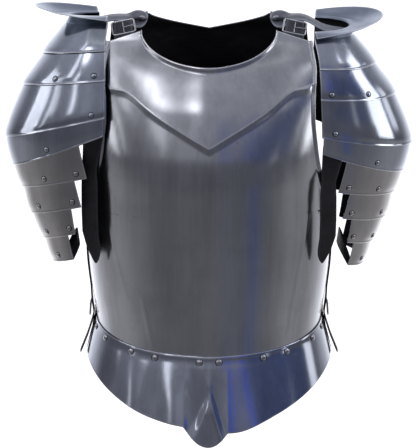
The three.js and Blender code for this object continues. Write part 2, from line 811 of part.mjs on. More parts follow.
function makeShoulder(name, pose, pauldron) {
  const side = pose.side;
  const rows = shoulderStrapRows(side);
  let strap = solidOf(sheet(rows, shoulderStrapThickness));
  const across = new THREE.Vector3(1, 0, 0);
  const { centre, normal } = facet(rows, 2, 0);
  const seat = centre.addScaledVector(normal, buckleRise);
  const buckle = buckleGeometry(buckleWidth, buckleLength);
  addPiece(armour, `shoulder_buckle_${name}`, placed(buckle, seat, normal, across), 'paleSteel');

  const reach = pauldronInner + collarNeckReach - lameSteel;
  const far = new THREE.Vector3(side * reach, 0, -collarNeckDrop - 8).applyMatrix4(pauldron.matrixWorld);
  const top = shoulderStrapThickness + gap + hangerThickness;
  const neckEnd = shoulderStrapX - shoulderStrapWidth / 2 - shoulderStrapEar - 1;
  const band = [
    new THREE.Vector3(side * neckEnd, 0, top),
    new THREE.Vector3(side * (neckEnd + 4 * hangerRivetRadius), 0, top),
    new THREE.Vector3(side * (shoulderStrapX + shoulderStrapWidth / 2 + 1), 0, top),
    new THREE.Vector3(side * (pauldronInner + 14), 0, mix(top, far.z, 0.7)),
    far,
  ];
  const run = new THREE.Vector3(0, -side, 0);
  let hanger = solidOf(stripAlong(band, hangerWidth, hangerThickness, run));
  const place = band[0].clone().lerp(band[1], 0.5);
  const up = new THREE.Vector3(0, 0, 1);
  const grip = shoulderStrapThickness + hangerThickness + gap;
  const radius = rivetShankRadius + rivetClearance;
  const drill = turned([[0, -grip * 2], [radius, -grip * 2], [radius, grip], [0, grip]], 8);
  const hole = solidOf(placed(drill, place, up));
  strap = strap.subtract(hole);
  hanger = hanger.subtract(hole);
  const rivet = placed(rivetGeometry(grip, hangerRivetRadius), place, up);
  addPiece(armour, `pauldron_strap_rivet_${name}`, rivet, 'paleSteel');
  addPiece(armour, `shoulder_strap_${name}`, geometryOf(strap), 'grey');
  addPiece(armour, `pauldron_strap_${name}`, geometryOf(hanger), 'grey');
}

function makeSideStrap(name, side) {
  const drops = [0, 0.3, 0.5, 0.7, 0.86, 1].map((t) => mix(sideStrapTopDrop, sideStrapEndDrop, t));
  const points = drops.map((drop) => {
    const below = Math.max(drop - waistLine(1), 0);
    const over = drop > waistLine(1) - 2 * waistTuck ? bodySteel + fauldGap : 0;
    const clear = sideStrapThickness + 2 * gap + over;
    const x = halfWidthAt(Math.min(drop, waistDrop)) + clear + (fauldSideFlare / 40) * below;
    return new THREE.Vector3(side * x, 0, -drop);
  });
  const across = new THREE.Vector3(0, side, 0);
  const strap = stripAlong([...points].reverse(), sideStrapWidth, sideStrapThickness, across);
  addPiece(armour, `side_strap_${name}`, strap, 'black');
  const normal = across.clone().cross(points[2].clone().sub(points[3])).normalize();
  const seat = points[2].clone().lerp(points[3], 0.5).addScaledVector(normal, gap);
  const buckle = buckleGeometry(sideStrapWidth + 8, buckleLength);
  addPiece(armour, `side_buckle_${name}`, placed(buckle, seat, normal, across), 'paleSteel');
}

makeBody();
Object.entries(poses).forEach(([name, pose]) => {
  const pauldron = makePauldron(`pauldron_${name}`, pose);
  makeShoulder(name, pose, pauldron);
  makeSideStrap(name, pose.side);
});

export default armour;
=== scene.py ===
# Visual model of the half armour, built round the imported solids. Sizes are in millimetres until a
# mesh is made, with the same axes as the solids: -Y is the front and +X is the wearer's left.

import math

import bpy
import numpy as np
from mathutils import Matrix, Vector


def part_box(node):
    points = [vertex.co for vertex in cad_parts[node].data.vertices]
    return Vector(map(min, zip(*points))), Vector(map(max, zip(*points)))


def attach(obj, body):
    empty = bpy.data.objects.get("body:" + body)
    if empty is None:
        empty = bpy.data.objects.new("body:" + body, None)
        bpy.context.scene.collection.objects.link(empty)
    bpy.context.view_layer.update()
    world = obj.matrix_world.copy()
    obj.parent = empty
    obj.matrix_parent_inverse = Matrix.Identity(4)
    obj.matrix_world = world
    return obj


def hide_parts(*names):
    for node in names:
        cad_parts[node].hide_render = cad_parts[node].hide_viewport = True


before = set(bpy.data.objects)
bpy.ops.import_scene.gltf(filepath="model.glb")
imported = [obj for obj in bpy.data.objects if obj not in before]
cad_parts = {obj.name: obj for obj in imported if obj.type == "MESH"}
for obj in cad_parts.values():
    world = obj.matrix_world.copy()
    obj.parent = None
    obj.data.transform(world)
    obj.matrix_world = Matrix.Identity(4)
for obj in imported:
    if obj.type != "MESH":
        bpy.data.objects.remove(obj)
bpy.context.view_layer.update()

MM = 0.001

# Sizes of the body plates, as in the solids
BODY_HALF_WIDTH = 190
CHEST_DEPTH = 168
BACK_DEPTH = 138
WAIST_DROP = 502
WAIST_SIDE_RISE = 34
SECTION_POWER = 2.2
SEAM_GAP = 6
BODY_STEEL = 1.6
GAP = 0.4
SHOULDER_HALF_WIDTH = 158
NECK_HALF_WIDTH = 105
NECK_DROP = 62
SHOULDER_INNER_DROP = 11
SHOULDER_OUTER_DROP = 28
ARMHOLE_DROP = 285
CHEST_POINT_DROP = 180
RIDGE_HEIGHT = 4
RIDGE_HALF_WIDTH = 26
ARMHOLE_RIM = 4
NECK_RIM = 4
WAIST_TUCK = 16
BACK_NECK_HALF_WIDTH = 93
BACK_NECK_DROP = 28
BACK_NECK_POINT = 0.7
BACK_SHOULDER_INNER_DROP = -3
BACK_SHOULDER_OUTER_DROP = 18
BACK_SHOULDER_HALF_WIDTH = 152
BACK_TAIL = 24
BACK_FLARE = 9
FAULD_SIDE_DROP = 527
FAULD_FRONT_DROP = 607
FAULD_SIDE_FLARE = 16
FAULD_FRONT_FLARE = 34
FAULD_GAP = 0.6
# Share of a plate's half that its neckline takes
NECK_SHARE = 8 / 12

# Forms of the plates that are finer than the solids. The step round the chest panel
PANEL_STEP = 1.8
PANEL_STEP_RUN = 12
PANEL_CREST = 0.45
# The fauld's rounded point, and how its lower edge sags to one side of it
FAULD_POINT = 26.1
FAULD_POINT_HALF_WIDTH = 31.92
FAULD_TIP_X = -5
FAULD_SKEW = 10
FAULD_SKEW_X = 40
# The fauld starts this far off the body at the foot of its band
FAULD_START = 5
# The fold at its point: where it begins down the skirt, x of its sides there and at the tip, its slopes'
# widths, its height, and the lip along its right side as a share of that
FOLD_START = 0.25
FOLD_LEFT = (-3, -36)
FOLD_RIGHT = (-1, 21)
FOLD_SLOPES = (13, 6)
FOLD_HEIGHT = 2.5
FOLD_LIP = 0.3
FOLD_LIP_WIDTH = 2.6
KEEL_HEIGHT = 1.2
KEEL_HALF_WIDTH = 5
RIPPLE_HEIGHT = 0.7
RIPPLE_TURN = 0.105
# Front ends of the collar and of the upper lames, at their lower and upper edges, reach further inwards
COLLAR_FRONT_REACH = 9
LAME_FRONT_REACH = ((5, 3.5, 2.5), (9, 5, 3))
# Rows of a lame at its lower edge, which is turned out a little, and the row that its rivets sit on
LAME_EDGE_ROWS = [0, 0.07, 0.14, 0.21, 0.28, 0.36, 0.46, 0.58, 0.7]
LAME_RIVET_ROW = 9
LAME_TURN = 0.9
LAME_TURN_REACH = 3.4

# Sizes of the pauldrons
LAME_STEEL = 1.2
PAULDRON_INNER = 166
PAULDRON_REACH = 154
PAULDRON_HALF_DEPTH = 102
PAULDRON_TOP_DROP = 12
PAULDRON_HEIGHT = 373
LAME_OVERLAP = 12
COLLAR_REACH = 104
COLLAR_HALF_DEPTH = 60
COLLAR_NECK_REACH = 52
COLLAR_NECK_HALF_DEPTH = 44
COLLAR_NECK_DROP = 2
COLLAR_OUTER_RISE = 16
COLLAR_PITCH = 0.117
PIVOT_X = 222

# Straps, buckles and rivets
RIVET_HEAD_RADIUS = 5
RIVET_HEAD_HEIGHT = 2.6
LAME_RIVET_RADIUS = 4
LAME_RIVET_HEIGHT = 2.2
STRAP_RIVET_RADIUS = 5.5
LEATHER = 2
LEATHER_WIDTH = 26
SHOULDER_STRAP_X = 132
SHOULDER_STRAP_WIDTH = 28
SHOULDER_STRAP_THICKNESS = 2.6
SHOULDER_STRAP_LAP = 34
SHOULDER_STRAP_EAR = 21
HANGER_WIDTH = 26
HANGER_THICKNESS = 2.6
BUCKLE_WIDTH = 38
BUCKLE_LENGTH = 25
BUCKLE_BAR = 3.4
BAR_RADIUS = 0.42 * BUCKLE_BAR
BUCKLE_CORNER = 3.2
SHOULDER_BUCKLE_TURN = math.radians(-9)
SIDE_STRAP_WIDTH = 22
SIDE_STRAP_THICKNESS = 2.2
SIDE_STRAP_TOP_DROP = 352
SIDE_STRAP_END_DROP = 530
# How far the middle of the arm strap rises, at its lower and upper edges, and bows inwards
ARM_STRAP_RISE = (18, 30)
ARM_STRAP_REACH = 12
TONGUE_DROP = 366
TONGUE_X = 185
TONGUE_Y = -101
# Drop and width along the tongue's free length, which ends in a point
TONGUE_SHAPE = ((0.25, 27), (0.4, 30), (0.6, 30), (0.76, 30), (0.86, 26), (0.92, 20), (0.97, 11), (1, 2))
# The pauldron strap is tilted about this y at its neck end. Its front edge is rolled from a y on, over a
# width, by so much forwards and down.
HANGER_TILT = math.radians(34)
HANGER_TILT_Y = 3
HANGER_ROLL_Y = -4
HANGER_ROLL_WIDTH = 9
HANGER_ROLL = (5, 4)

# Tables of shares. Cross-sections of the body: drop of the waist's, then width, front and back depth
BODY_SECTIONS = np.array([
    (-0.02, 1.21, 0.21, 0.19), (-0.006, 1.21, 0.24, 0.26), (0.022, 1.21, 0.3, 0.39),
    (0.055, 1.21, 0.37, 0.56), (0.113, 1.168, 0.548, 0.74), (0.174, 1.132, 0.685, 0.86),
    (0.253, 1.079, 0.833, 0.95), (0.374, 1.042, 0.965, 1), (0.45, 1.021, 1, 1),
    (0.526, 1.005, 1, 0.985), (0.648, 1, 0.988, 0.95), (0.747, 0.993, 0.97, 0.9),
    (0.85, 0.962, 0.943, 0.855), (0.937, 0.928, 0.92, 0.825), (1, 0.912, 0.911, 0.81),
    (1.08, 0.9, 0.9, 0.8),
])
# Half-breadth of the plates at the armhole: drop, width
ARMHOLE_EDGE = np.array([
    (0.03, 0.99), (0.1, 1), (0.225, 1.03), (0.32, 1.024), (0.46, 1.018), (0.545, 1.028),
    (0.663, 1.05), (0.77, 1.078), (0.885, 1.115), (0.935, 1.155), (1, 1.21),
])
# Lower line of the chest panel: across, drop
CHEST_LINE = np.array([
    (0, 1), (0.26, 0.872), (0.437, 0.783), (0.595, 0.695), (0.8, 0.567), (0.937, 0.545), (1.05, 0.5),
])
# Lower edges of the lames: drop, centre, reach, depth, slope, wrap at the top and at the edge
LAMES = [
    (0.125, 0, 0.615, 0.765, 0.07, 87, 87), (0.256, 0, 0.822, 0.9, 0.08, 87, 88),
    (0.472, 0, 1, 1, 0.225, 88, 88), (0.593, 0.032, 0.893, 0.96, 0.37, 88, 90),
    (0.684, 0.065, 0.767, 0.863, 0.195, 74, 80), (0.794, 0.097, 0.647, 0.784, 0.195, 70, 76),
    (0.901, 0.149, 0.4725, 0.686, 0.25, 66, 70), (1, 0.194, 0.33, 0.588, 0.25, 59, 66),
]
TOP_RING = (0, 0, 0.377, 0.49, 0, 87, 87)
# Rivets on the lames: how far across from either end as a share of its arc, by lame
LAME_RIVETS = {
    2: (0.042, 0.21), 3: (0.042,), 4: (0.21,), 5: (0.042, 0.21), 6: (0.042, 0.29), 7: (0.042, 0.29),
    8: (0.21,),
}
# How each pauldron sits: side, lift, pitch and yaw
POSES = {"right": (-1, 7.5, -5.5, 4), "left": (1, -7.5, 5.5, 4)}
FAULD_RIVET_COLUMNS = [0, 3, 5, 8, 10]
FAULD_RIVET_GRID = 24


def mix(a, b, share):
    return a + (b - a) * share


def curve(t, start, end, leaving, arriving):
    """A smooth curve between two values that leaves and arrives at the given slopes."""
    return (
        (2 * t**3 - 3 * t**2 + 1) * start + (t**3 - 2 * t**2 + t) * leaving
        + (3 * t**2 - 2 * t**3) * end + (t**3 - t**2) * arriving
    )


def smooth(table, column, at):
    """A smooth curve through the rows of a table, read in `column` where the first column is `at`."""
    knots, values = table[:, 0], table[:, column]
    last = len(knots) - 1
    before = np.maximum(np.arange(last + 1) - 1, 0)
    after = np.minimum(np.arange(last + 1) + 1, last)
    slopes = (values[after] - values[before]) / (knots[after] - knots[before])
    at = np.asarray(at, float)
    i = np.clip(np.searchsorted(knots, at) - 1, 0, last - 1)
    span = knots[i + 1] - knots[i]
    t = np.clip((at - knots[i]) / span, 0, 1)
    return curve(t, values[i], values[i + 1], span * slopes[i], span * slopes[i + 1])


def ease(t):
    t = np.clip(t, 0, 1)
    return t * t * (3 - 2 * t)


def bell(distance, width):
    return np.exp(-((distance / width) ** 2))


def unit(v):
    return v / np.maximum(np.linalg.norm(v, axis=-1, keepdims=True), 1e-9)


def point(x, y, z):
    return np.stack(np.broadcast_arrays(x, y, z), axis=-1).astype(float)


# Grids: arrays of rows x columns x 3, with columns x rows outwards


def grid_normals(grid):
    across = np.gradient(grid, axis=1)
    up = np.gradient(grid, axis=0)
    return unit(np.cross(across, up))


def under(grid, gap):
    """The grid, sunk by a gap."""
    return grid - grid_normals(grid) * gap


def resample(grid, rows):
    """Rows through the given ones, on a smooth curve: a number of them, or the places asked for."""
    n = len(grid)
    at = np.linspace(0, n - 1, rows) if np.ndim(rows) == 0 else np.asarray(rows, float)
    i = np.clip(at.astype(int), 0, n - 2)
    t = (at - i)[:, None, None]
    gaps = np.maximum(np.linalg.norm(np.diff(grid, axis=0), axis=-1, keepdims=True), 1e-6)
    chords = np.diff(grid, axis=0) / gaps
    tangents = np.concatenate([chords[:1], (chords[1:] + chords[:-1]) / 2, chords[-1:]])
    return curve(t, grid[i], grid[i + 1], gaps[i] * tangents[i], gaps[i] * tangents[i + 1])


def spread(grid, share):
    """A row's points at shares from -1 to 1 across it."""
    place = (np.asarray(share, float) + 1) / 2 * (grid.shape[-2] - 1)
    j = np.clip(place.astype(int), 0, grid.shape[-2] - 2)
    t = (place - j)[..., None]
    return grid[..., j, :] * (1 - t) + grid[..., j + 1, :] * t


def mirrored(grid, side):
    if side > 0:
        return grid
    return grid[:, ::-1] * np.array([-1, 1, 1])


def length_along(grid, axis):
    """Length from a grid's first row or column to each of its points."""
    steps = np.diff(grid, axis=axis, prepend=np.take(grid, [0], axis=axis))
    return np.cumsum(np.linalg.norm(steps, axis=-1), axis=axis)


def border_distance(grid):
    """How far each point of a grid is from its edge, along the grid's lines."""
    rows, columns = length_along(grid, 0), length_along(grid, 1)
    return np.minimum(np.minimum(rows, rows[-1] - rows), np.minimum(columns, columns[:, -1:] - columns))


# Meshes


def off_axis(axis):
    """A direction well off an axis."""
    return np.array([0.0, 0.0, 1.0] if abs(axis[2]) < 0.9 else [1.0, 0.0, 0.0])


def circle(centre, u, v, radius, sides):
    turns = [2 * math.pi * k / sides for k in range(sides)]
    return [centre + radius * (u * math.cos(a) + v * math.sin(a)) for a in turns]


class Parts:
    """Collects closed bodies that make up one piece, with each point's distance from an edge."""

    def __init__(self):
        self.points = []
        self.faces = []
        self.edge = []
        self.shaded_faces = []

    def add(self, points, faces, edge):
        start = len(self.points)
        self.points.extend(np.asarray(points).tolist())
        self.faces.extend([tuple(v + start for v in face) for face in faces])
        self.edge.extend(edge)
        return self

    def shell(self, grid, thickness, dark_rows=None):
        """A sheet with its outer face on the grid and rounded edges, its inner face given painted shade up to
        a row.
        """
        rows, columns = grid.shape[:2]
        distance = border_distance(grid)
        count = rows * columns
        index = np.arange(count).reshape(rows, columns)
        quads = np.stack([index[:-1, :-1], index[:-1, 1:], index[1:, 1:], index[1:, :-1]], axis=-1)
        quads = quads.reshape(-1, 4)
        faces = quads.tolist()
        first = len(self.faces) + len(faces)
        dark = len(quads) if dark_rows is None else dark_rows * (columns - 1)
        self.shaded_faces.extend(range(first, first + dark))
        faces.extend((quads[:, ::-1] + count).tolist())
        loop = np.concatenate([index[0, :], index[1:, -1], index[-1, -2::-1], index[-2:0:-1, 0]])
        outer = grid.reshape(-1, 3)
        inner = under(grid, thickness).reshape(-1, 3)
        tangent = unit(np.roll(outer[loop], -1, axis=0) - np.roll(outer[loop], 1, axis=0))
        across = outer[loop] - inner[loop]
        through = unit(across)
        out = unit(np.cross(tangent, through))
        middle = (outer[loop] + inner[loop]) / 2
        half = np.linalg.norm(across, axis=1, keepdims=True) / 2
        rings = [middle + half * (through * math.sin(a) + out * math.cos(a))
                 for a in (math.radians(45), 0, math.radians(-45))]
        places = [loop, *(2 * count + k * len(loop) + np.arange(len(loop)) for k in range(3)), loop + count]
        for a, b in zip(places, places[1:]):
            faces.extend(np.stack([a, b, np.roll(b, -1), np.roll(a, -1)], axis=-1).tolist())
        edge = np.concatenate([distance.ravel(), distance.ravel(), np.zeros(3 * len(loop))])
        return self.add(np.concatenate([outer, inner, *rings]), faces, edge.tolist())

    def tube(self, path, radius, sides, closed=False):
        """A round bar along a path, with domed ends."""
        path = np.asarray(path, float)
        radii = np.full(len(path), float(radius))
        if closed:
            tangent = unit(np.roll(path, -1, axis=0) - np.roll(path, 1, axis=0))
        else:
            tangent = unit(np.gradient(path, axis=0))
            caps = [0.0, 0.5, 0.87]
            first = [path[0] - tangent[0] * radius * (1 - c) for c in caps]
            last = [path[-1] + tangent[-1] * radius * (1 - c) for c in caps]
            shrink = [radius * math.sqrt(max(1 - (1 - c) ** 2, 0.0009)) for c in caps]
            path = np.concatenate([first, path, last[::-1]])
            radii = np.concatenate([shrink, radii, shrink[::-1]])
            tangent = np.concatenate([[tangent[0]] * 3, tangent, [tangent[-1]] * 3])
        normal = unit(np.cross(tangent[0], off_axis(tangent[0])))
        points = []
        for p, t, r in zip(path, tangent, radii):
            normal = unit(normal - t * np.dot(normal, t))
            points.extend(circle(p, normal, np.cross(t, normal), r, sides))
        n = len(path)
        faces = []
        for i in range(n if closed else n - 1):
            low, high = i * sides, (i + 1) % n * sides
            for k in range(sides):
                following = (k + 1) % sides
                faces.append((low + k, low + following, high + following, high + k))
        if not closed:
            faces.append(tuple(range(sides))[::-1])
            faces.append(tuple((n - 1) * sides + k for k in range(sides)))
        return self.add(points, faces, [0.5] * len(points))

    def turned(self, profile, centre, axis, sides=24, dark=False):
        """A body turned about an axis, from a profile of (radius, height) that starts and ends on it."""
        axis = unit(np.asarray(axis, float))
        u = unit(np.cross(off_axis(axis), axis))
        v = np.cross(axis, u)
        centre = np.asarray(centre, float)
        points = [centre + axis * profile[0][1]]
        for radius, height in profile[1:-1]:
            points.extend(circle(centre + axis * height, u, v, radius, sides))
        points.append(centre + axis * profile[-1][1])
        rings = len(profile) - 2

        def at(ring, k):
            return 1 + ring * sides + k % sides

        faces = []
        for k in range(sides):
            faces.append((0, at(0, k + 1), at(0, k)))
            faces.append((len(points) - 1, at(rings - 1, k), at(rings - 1, k + 1)))
            for ring in range(rings - 1):
                faces.append((at(ring, k), at(ring, k + 1), at(ring + 1, k + 1), at(ring + 1, k)))
        if dark:
            self.shaded_faces.extend(range(len(self.faces), len(self.faces) + len(faces)))
        return self.add(points, faces, [99.0] * len(points))

    def rivet(self, radius, height, foot, margin, centre, axis, sides=24):
        """A domed head, and the thin dark ring round its foot that is painted shadow."""
        rise = [(radius * math.cos(math.radians(a)), height * math.sin(math.radians(a)))
                for a in (0, 18, 36, 54, 72, 84)]
        head = [(0, foot), (radius * 0.9, foot), (radius * 0.97, -0.05), *rise, (0, height)]
        wide = radius + margin
        # The ring takes the second, near-black material: a painted shadow round the head
        line = [(0, -0.5), (wide, -0.5), (wide, 0.12), (wide * 0.8, 0.2), (0, 0.2)]
        return self.turned(head, centre, axis, sides).turned(line, centre, axis, sides, dark=True)

    def piece(self, name, material, slot, node, inner=None):
        mesh = bpy.data.meshes.new(name)
        mesh.from_pydata((np.asarray(self.points) * MM).tolist(), [], self.faces)
        mesh.validate()
        edge = mesh.attributes.new("edge", "FLOAT", "POINT")
        edge.data.foreach_set("value", np.asarray(self.edge, np.float32))
        mesh.polygons.foreach_set("use_smooth", [True] * len(mesh.polygons))
        mesh.materials.append(material)
        if inner is not None:
            mesh.materials.append(inner)
            inside = np.zeros(len(mesh.polygons), np.int32)
            inside[self.shaded_faces] = 1
            mesh.polygons.foreach_set("material_index", inside)
        piece = bpy.data.objects.new(name, mesh)
        bpy.context.scene.collection.objects.link(piece)
        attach(piece, "root")
        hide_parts(node)


# The body's surface


def half_width_at(drop):
    return BODY_HALF_WIDTH * smooth(BODY_SECTIONS, 1, np.asarray(drop) / WAIST_DROP)


def armhole_x(drop):
    return SHOULDER_HALF_WIDTH * smooth(ARMHOLE_EDGE, 1, np.asarray(drop) / ARMHOLE_DROP)


def body_point(face, x, drop):
    front = face == "front"
    deepest, column = (CHEST_DEPTH, 2) if front else (BACK_DEPTH, 3)
    depth = deepest * smooth(BODY_SECTIONS, column, drop / WAIST_DROP)
    share = np.minimum(np.abs(x) / half_width_at(drop), 1)
    y = depth * (1 - share**SECTION_POWER) ** (1 / SECTION_POWER)
    if front:
        y = y + RIDGE_HEIGHT * bell(x, RIDGE_HALF_WIDTH)
    away = SEAM_GAP / 2 + y
    return point(x, -away if front else away, -drop)


def body_normal(face, x, drop):
    limit = half_width_at(drop) - 1
    middle = np.sign(x) * np.minimum(np.abs(x), limit)
    across = body_point(face, middle + 1, drop) - body_point(face, middle - 1, drop)
    up = body_point(face, middle, drop - 1) - body_point(face, middle, drop + 1)
    normal = unit(np.cross(across, up))
    return normal if face == "front" else -normal


def across_at(share, drop):
    half_width = half_width_at(drop)
    edge = np.where(drop < ARMHOLE_DROP, np.minimum(armhole_x(drop) / half_width, 1), 1)
    power = 2 / SECTION_POWER
    widest = np.arcsin(edge ** (1 / power))
    return np.sign(share) * half_width * np.sin(np.abs(share) * widest) ** power


def waist_line(share):
    return WAIST_DROP - WAIST_SIDE_RISE * (1 - np.cos(np.radians(90 * share)))


def chest_line_at(x):
    return CHEST_POINT_DROP * smooth(CHEST_LINE, 1, np.abs(x) / SHOULDER_HALF_WIDTH)


def chest_foot(share):
    drop = np.full(np.shape(share), CHEST_POINT_DROP * 0.7)
    for _ in range(8):
        drop = chest_line_at(across_at(share, drop))
    return drop


def top_outline(share, neck, shoulder):
    part = np.abs(share)
    angle = np.radians(90 * np.minimum(part, NECK_SHARE) / NECK_SHARE)
    t = np.clip((part - NECK_SHARE) / (1 - NECK_SHARE), 0, 1)
    on_neck = part <= NECK_SHARE
    hollow = mix(np.cos(angle), 1 - np.sin(angle), neck[2])
    x = np.where(on_neck, neck[0] * np.sin(angle), mix(neck[0], shoulder[0], t))
    drop = np.where(on_neck, mix(shoulder[1], neck[1], hollow), mix(shoulder[1], shoulder[2], t))
    return np.sign(share) * x, drop


FRONT_NECK = (NECK_HALF_WIDTH, NECK_DROP, 0)
FRONT_SHOULDER = (SHOULDER_HALF_WIDTH, SHOULDER_INNER_DROP, SHOULDER_OUTER_DROP)
BACK_NECK = (BACK_NECK_HALF_WIDTH, BACK_NECK_DROP, BACK_NECK_POINT)
BACK_SHOULDER = (BACK_SHOULDER_HALF_WIDTH, BACK_SHOULDER_INNER_DROP, BACK_SHOULDER_OUTER_DROP)


# Thin raised creases in the breastplate: from and to (across, drop), then height and half-width
CREASES = [
    ((-161, 290), (-127, 418), 0.5, 2.6), ((-104, 412), (-88, 492), 0.45, 2.6),
    ((157, 267), (121, 482), 0.55, 2.6), ((0, 188), (0, 496), 0.3, 2.4),
    ((-158, 95), (-148, 97), 1.3, 4), ((148, 97), (158, 95), 1.3, 4),
]


def creased(x, drop):
    rise = np.zeros(np.shape(x))
    for (x0, d0), (x1, d1), height, width in CREASES:
        length = (x1 - x0) ** 2 + (d1 - d0) ** 2
        t = np.clip(((x - x0) * (x1 - x0) + (drop - d0) * (d1 - d0)) / length, 0, 1)
        away = np.hypot(x - mix(x0, x1, t), drop - mix(d0, d1, t))
        rise = rise + height * bell(away, width) * np.sqrt(np.clip(4 * t * (1 - t) + 0.15, 0, 1))
    return rise


def rim_at(share, drop, height):
    """Roll of the armhole's edge, over the last few columns."""
    roll = ease((np.abs(share) - 0.965) / 0.035) ** 1.5
    fade = np.clip((ARMHOLE_DROP - drop) / (0.15 * ARMHOLE_DROP), 0, 1)
    return height * roll * fade


def front_point(share, x, drop, proud):
    rise = proud + rim_at(share, drop, ARMHOLE_RIM) + creased(x, drop)
    return body_point("front", x, drop) + body_normal("front", x, drop) * rise[..., None]


def plate_shares(columns):
    """Shares across a plate, closer together at its two edges."""
    t = np.linspace(-1, 1, columns)
    return np.sign(t) * (1 - (1 - np.abs(t)) ** 1.25)


def breastplate_grid(columns=201, low_rows=150, step_rows=9, high_rows=80):
    share = plate_shares(columns)
    side_foot = waist_line(1) + WAIST_TUCK
    side_top = chest_foot(np.array([1.0]))[0]
    foot = chest_foot(share) + PANEL_STEP_RUN / 2
    low = []
    for t in np.linspace(0, 1, low_rows):
        side_drop = mix(side_foot, side_top, t)
        drop = mix(waist_line(share) + WAIST_TUCK, foot, t)
        x = across_at(share, mix(drop, side_drop, np.abs(share) ** 6))
        low.append(front_point(share, x, drop, np.zeros(columns)))
    high = []
    top_x, top_drop = top_outline(share, FRONT_NECK, FRONT_SHOULDER)
    foot_x = across_at(share, foot)
    rim_x = np.sign(share) * across_at(np.ones(columns), foot)

    def panel(t, drop, proud):
        x_top = np.sign(share) * SHOULDER_HALF_WIDTH
        drift = np.sign(share) * armhole_x(drop) - mix(rim_x, x_top, t)
        x = mix(foot_x, top_x, t) + drift * np.abs(share) ** 4
        return front_point(share, x, drop, proud)

    for s in np.linspace(0, 1, step_rows)[1:]:
        crest = PANEL_CREST * bell(s - 0.9, 0.16)
        high.append(panel(0, foot - PANEL_STEP_RUN * s, np.full(columns, PANEL_STEP * ease(s) + crest)))
    neck = np.abs(share) <= NECK_SHARE
    for t in np.linspace(0, 1, high_rows)[1:]:
        drop = mix(foot - PANEL_STEP_RUN, top_drop, t)
        rolled = np.where(neck, NECK_RIM * ease((t - 0.93) / 0.07) ** 1.5, 0)
        high.append(panel(t, drop, mix(PANEL_STEP, 1, t) + rolled))
    return np.array(low + high)


def backplate_grid(columns=141, rows=170):
    share = plate_shares(columns)
    side_foot = waist_line(1) + BACK_TAIL
    grid = []
    top_x, top_drop = top_outline(share, BACK_NECK, BACK_SHOULDER)
    for t in np.linspace(0, 1, rows):
        side_drop = mix(side_foot, BACK_SHOULDER_OUTER_DROP, t)
        drop = mix(waist_line(share) + BACK_TAIL, top_drop, t)
        raised = max((ARMHOLE_DROP - side_drop) / (ARMHOLE_DROP - BACK_SHOULDER_OUTER_DROP), 0)
        low = across_at(share, mix(drop, side_drop, np.abs(share) ** 6))
        edge = np.sign(share) * (armhole_x(drop) - BACK_SHOULDER_HALF_WIDTH) * np.abs(share) ** 4
        x = mix(low, top_x + edge * (1 - raised), raised**2)
        flare = BACK_FLARE * ease(1 - t / 0.1) ** 2
        rise = flare + rim_at(share, drop, ARMHOLE_RIM / 2)
        grid.append(body_point("back", x, drop) + body_normal("back", x, drop) * rise[..., None])
    return np.array(grid)[:, ::-1]


def fauld_columns(columns):
    """Places of the fauld's columns across the breastplate's, closer at its point, and their shares."""
    evenly = np.linspace(-1, 1, columns)
    places = np.unique(np.round(np.concatenate([evenly, np.linspace(-0.22, 0.22, 177)]), 4))
    return places, np.interp(places, evenly, plate_shares(columns))


def fauld_grid(breastplate, rows=70):
    places, share = fauld_columns(breastplate.shape[1])
    breastplate = spread(breastplate[:16], places)
    columns = len(places)
    normals = grid_normals(breastplate)
    over = BODY_STEEL + FAULD_GAP
    lengths = np.cumsum(np.linalg.norm(np.diff(breastplate[:12], axis=0), axis=-1), axis=0)
    start = breastplate[0] + normals[0] * over
    band = []
    for up, push in ((1, 0), (0.75, 0.15), (0.5, 0.38), (0.25, 0.67)):
        distance = WAIST_TUCK * up
        row = []
        for j in range(columns):
            i = min(int(np.searchsorted(lengths[:, j], distance)), len(lengths) - 1)
            before = lengths[i - 1, j] if i else 0
            part = (distance - before) / (lengths[i, j] - before)
            row.append(mix(breastplate[i, j], breastplate[i + 1, j], part) + normals[i, j] * over)
        band.append(np.array(row) + normals[0] * FAULD_START * push)
    cosine = np.cos(np.radians(90 * share))
    from_tip = np.clip(np.abs(start[:, 0] - FAULD_TIP_X) / FAULD_POINT_HALF_WIDTH, 0, 1)
    dip = (1 - from_tip**2.2) ** 1.25
    skew = FAULD_SKEW * bell(start[:, 0] - FAULD_SKEW_X, FAULD_SKEW_X)
    low = mix(FAULD_SIDE_DROP, FAULD_FRONT_DROP, cosine**1.5) + FAULD_POINT * dip + skew
    skirt = []
    for t in np.linspace(1, 0, rows):
        swing = t**0.97
        push = normals[0] * FAULD_START * (1 - t)
        x = start[:, 0] * (1 + FAULD_SIDE_FLARE / half_width_at(WAIST_DROP) * swing)
        y = start[:, 1] - FAULD_FRONT_FLARE * cosine * swing
        down = np.clip((t - FOLD_START) / (1 - FOLD_START), 0, 1)
        left, right = mix(*FOLD_LEFT, down), mix(*FOLD_RIGHT, down)
        fold = ease((x - left) / FOLD_SLOPES[0]) * (1 - ease((x - right) / FOLD_SLOPES[1]))
        fold = fold + FOLD_LIP * bell(x - right + 1.5, FOLD_LIP_WIDTH)
        keel = FOLD_HEIGHT * fold * ease(down * 2.2)
        keel = keel + KEEL_HEIGHT * bell(x, KEEL_HALF_WIDTH) * ease(t * 4) * (1 - down)
        ripple = RIPPLE_HEIGHT * np.sin(x * RIPPLE_TURN + 1.1) * cosine * ease(t * 1.2)
        ripple = ripple * (1 - ease((x + 18) / 26))
        skirt.append(point(x, y - (keel + ripple), mix(start[:, 2], -low, t)) + push)
    return np.array(skirt[:-1] + [start + normals[0] * FAULD_START] + band[::-1])


# Pauldrons, worked out for the wearer's left


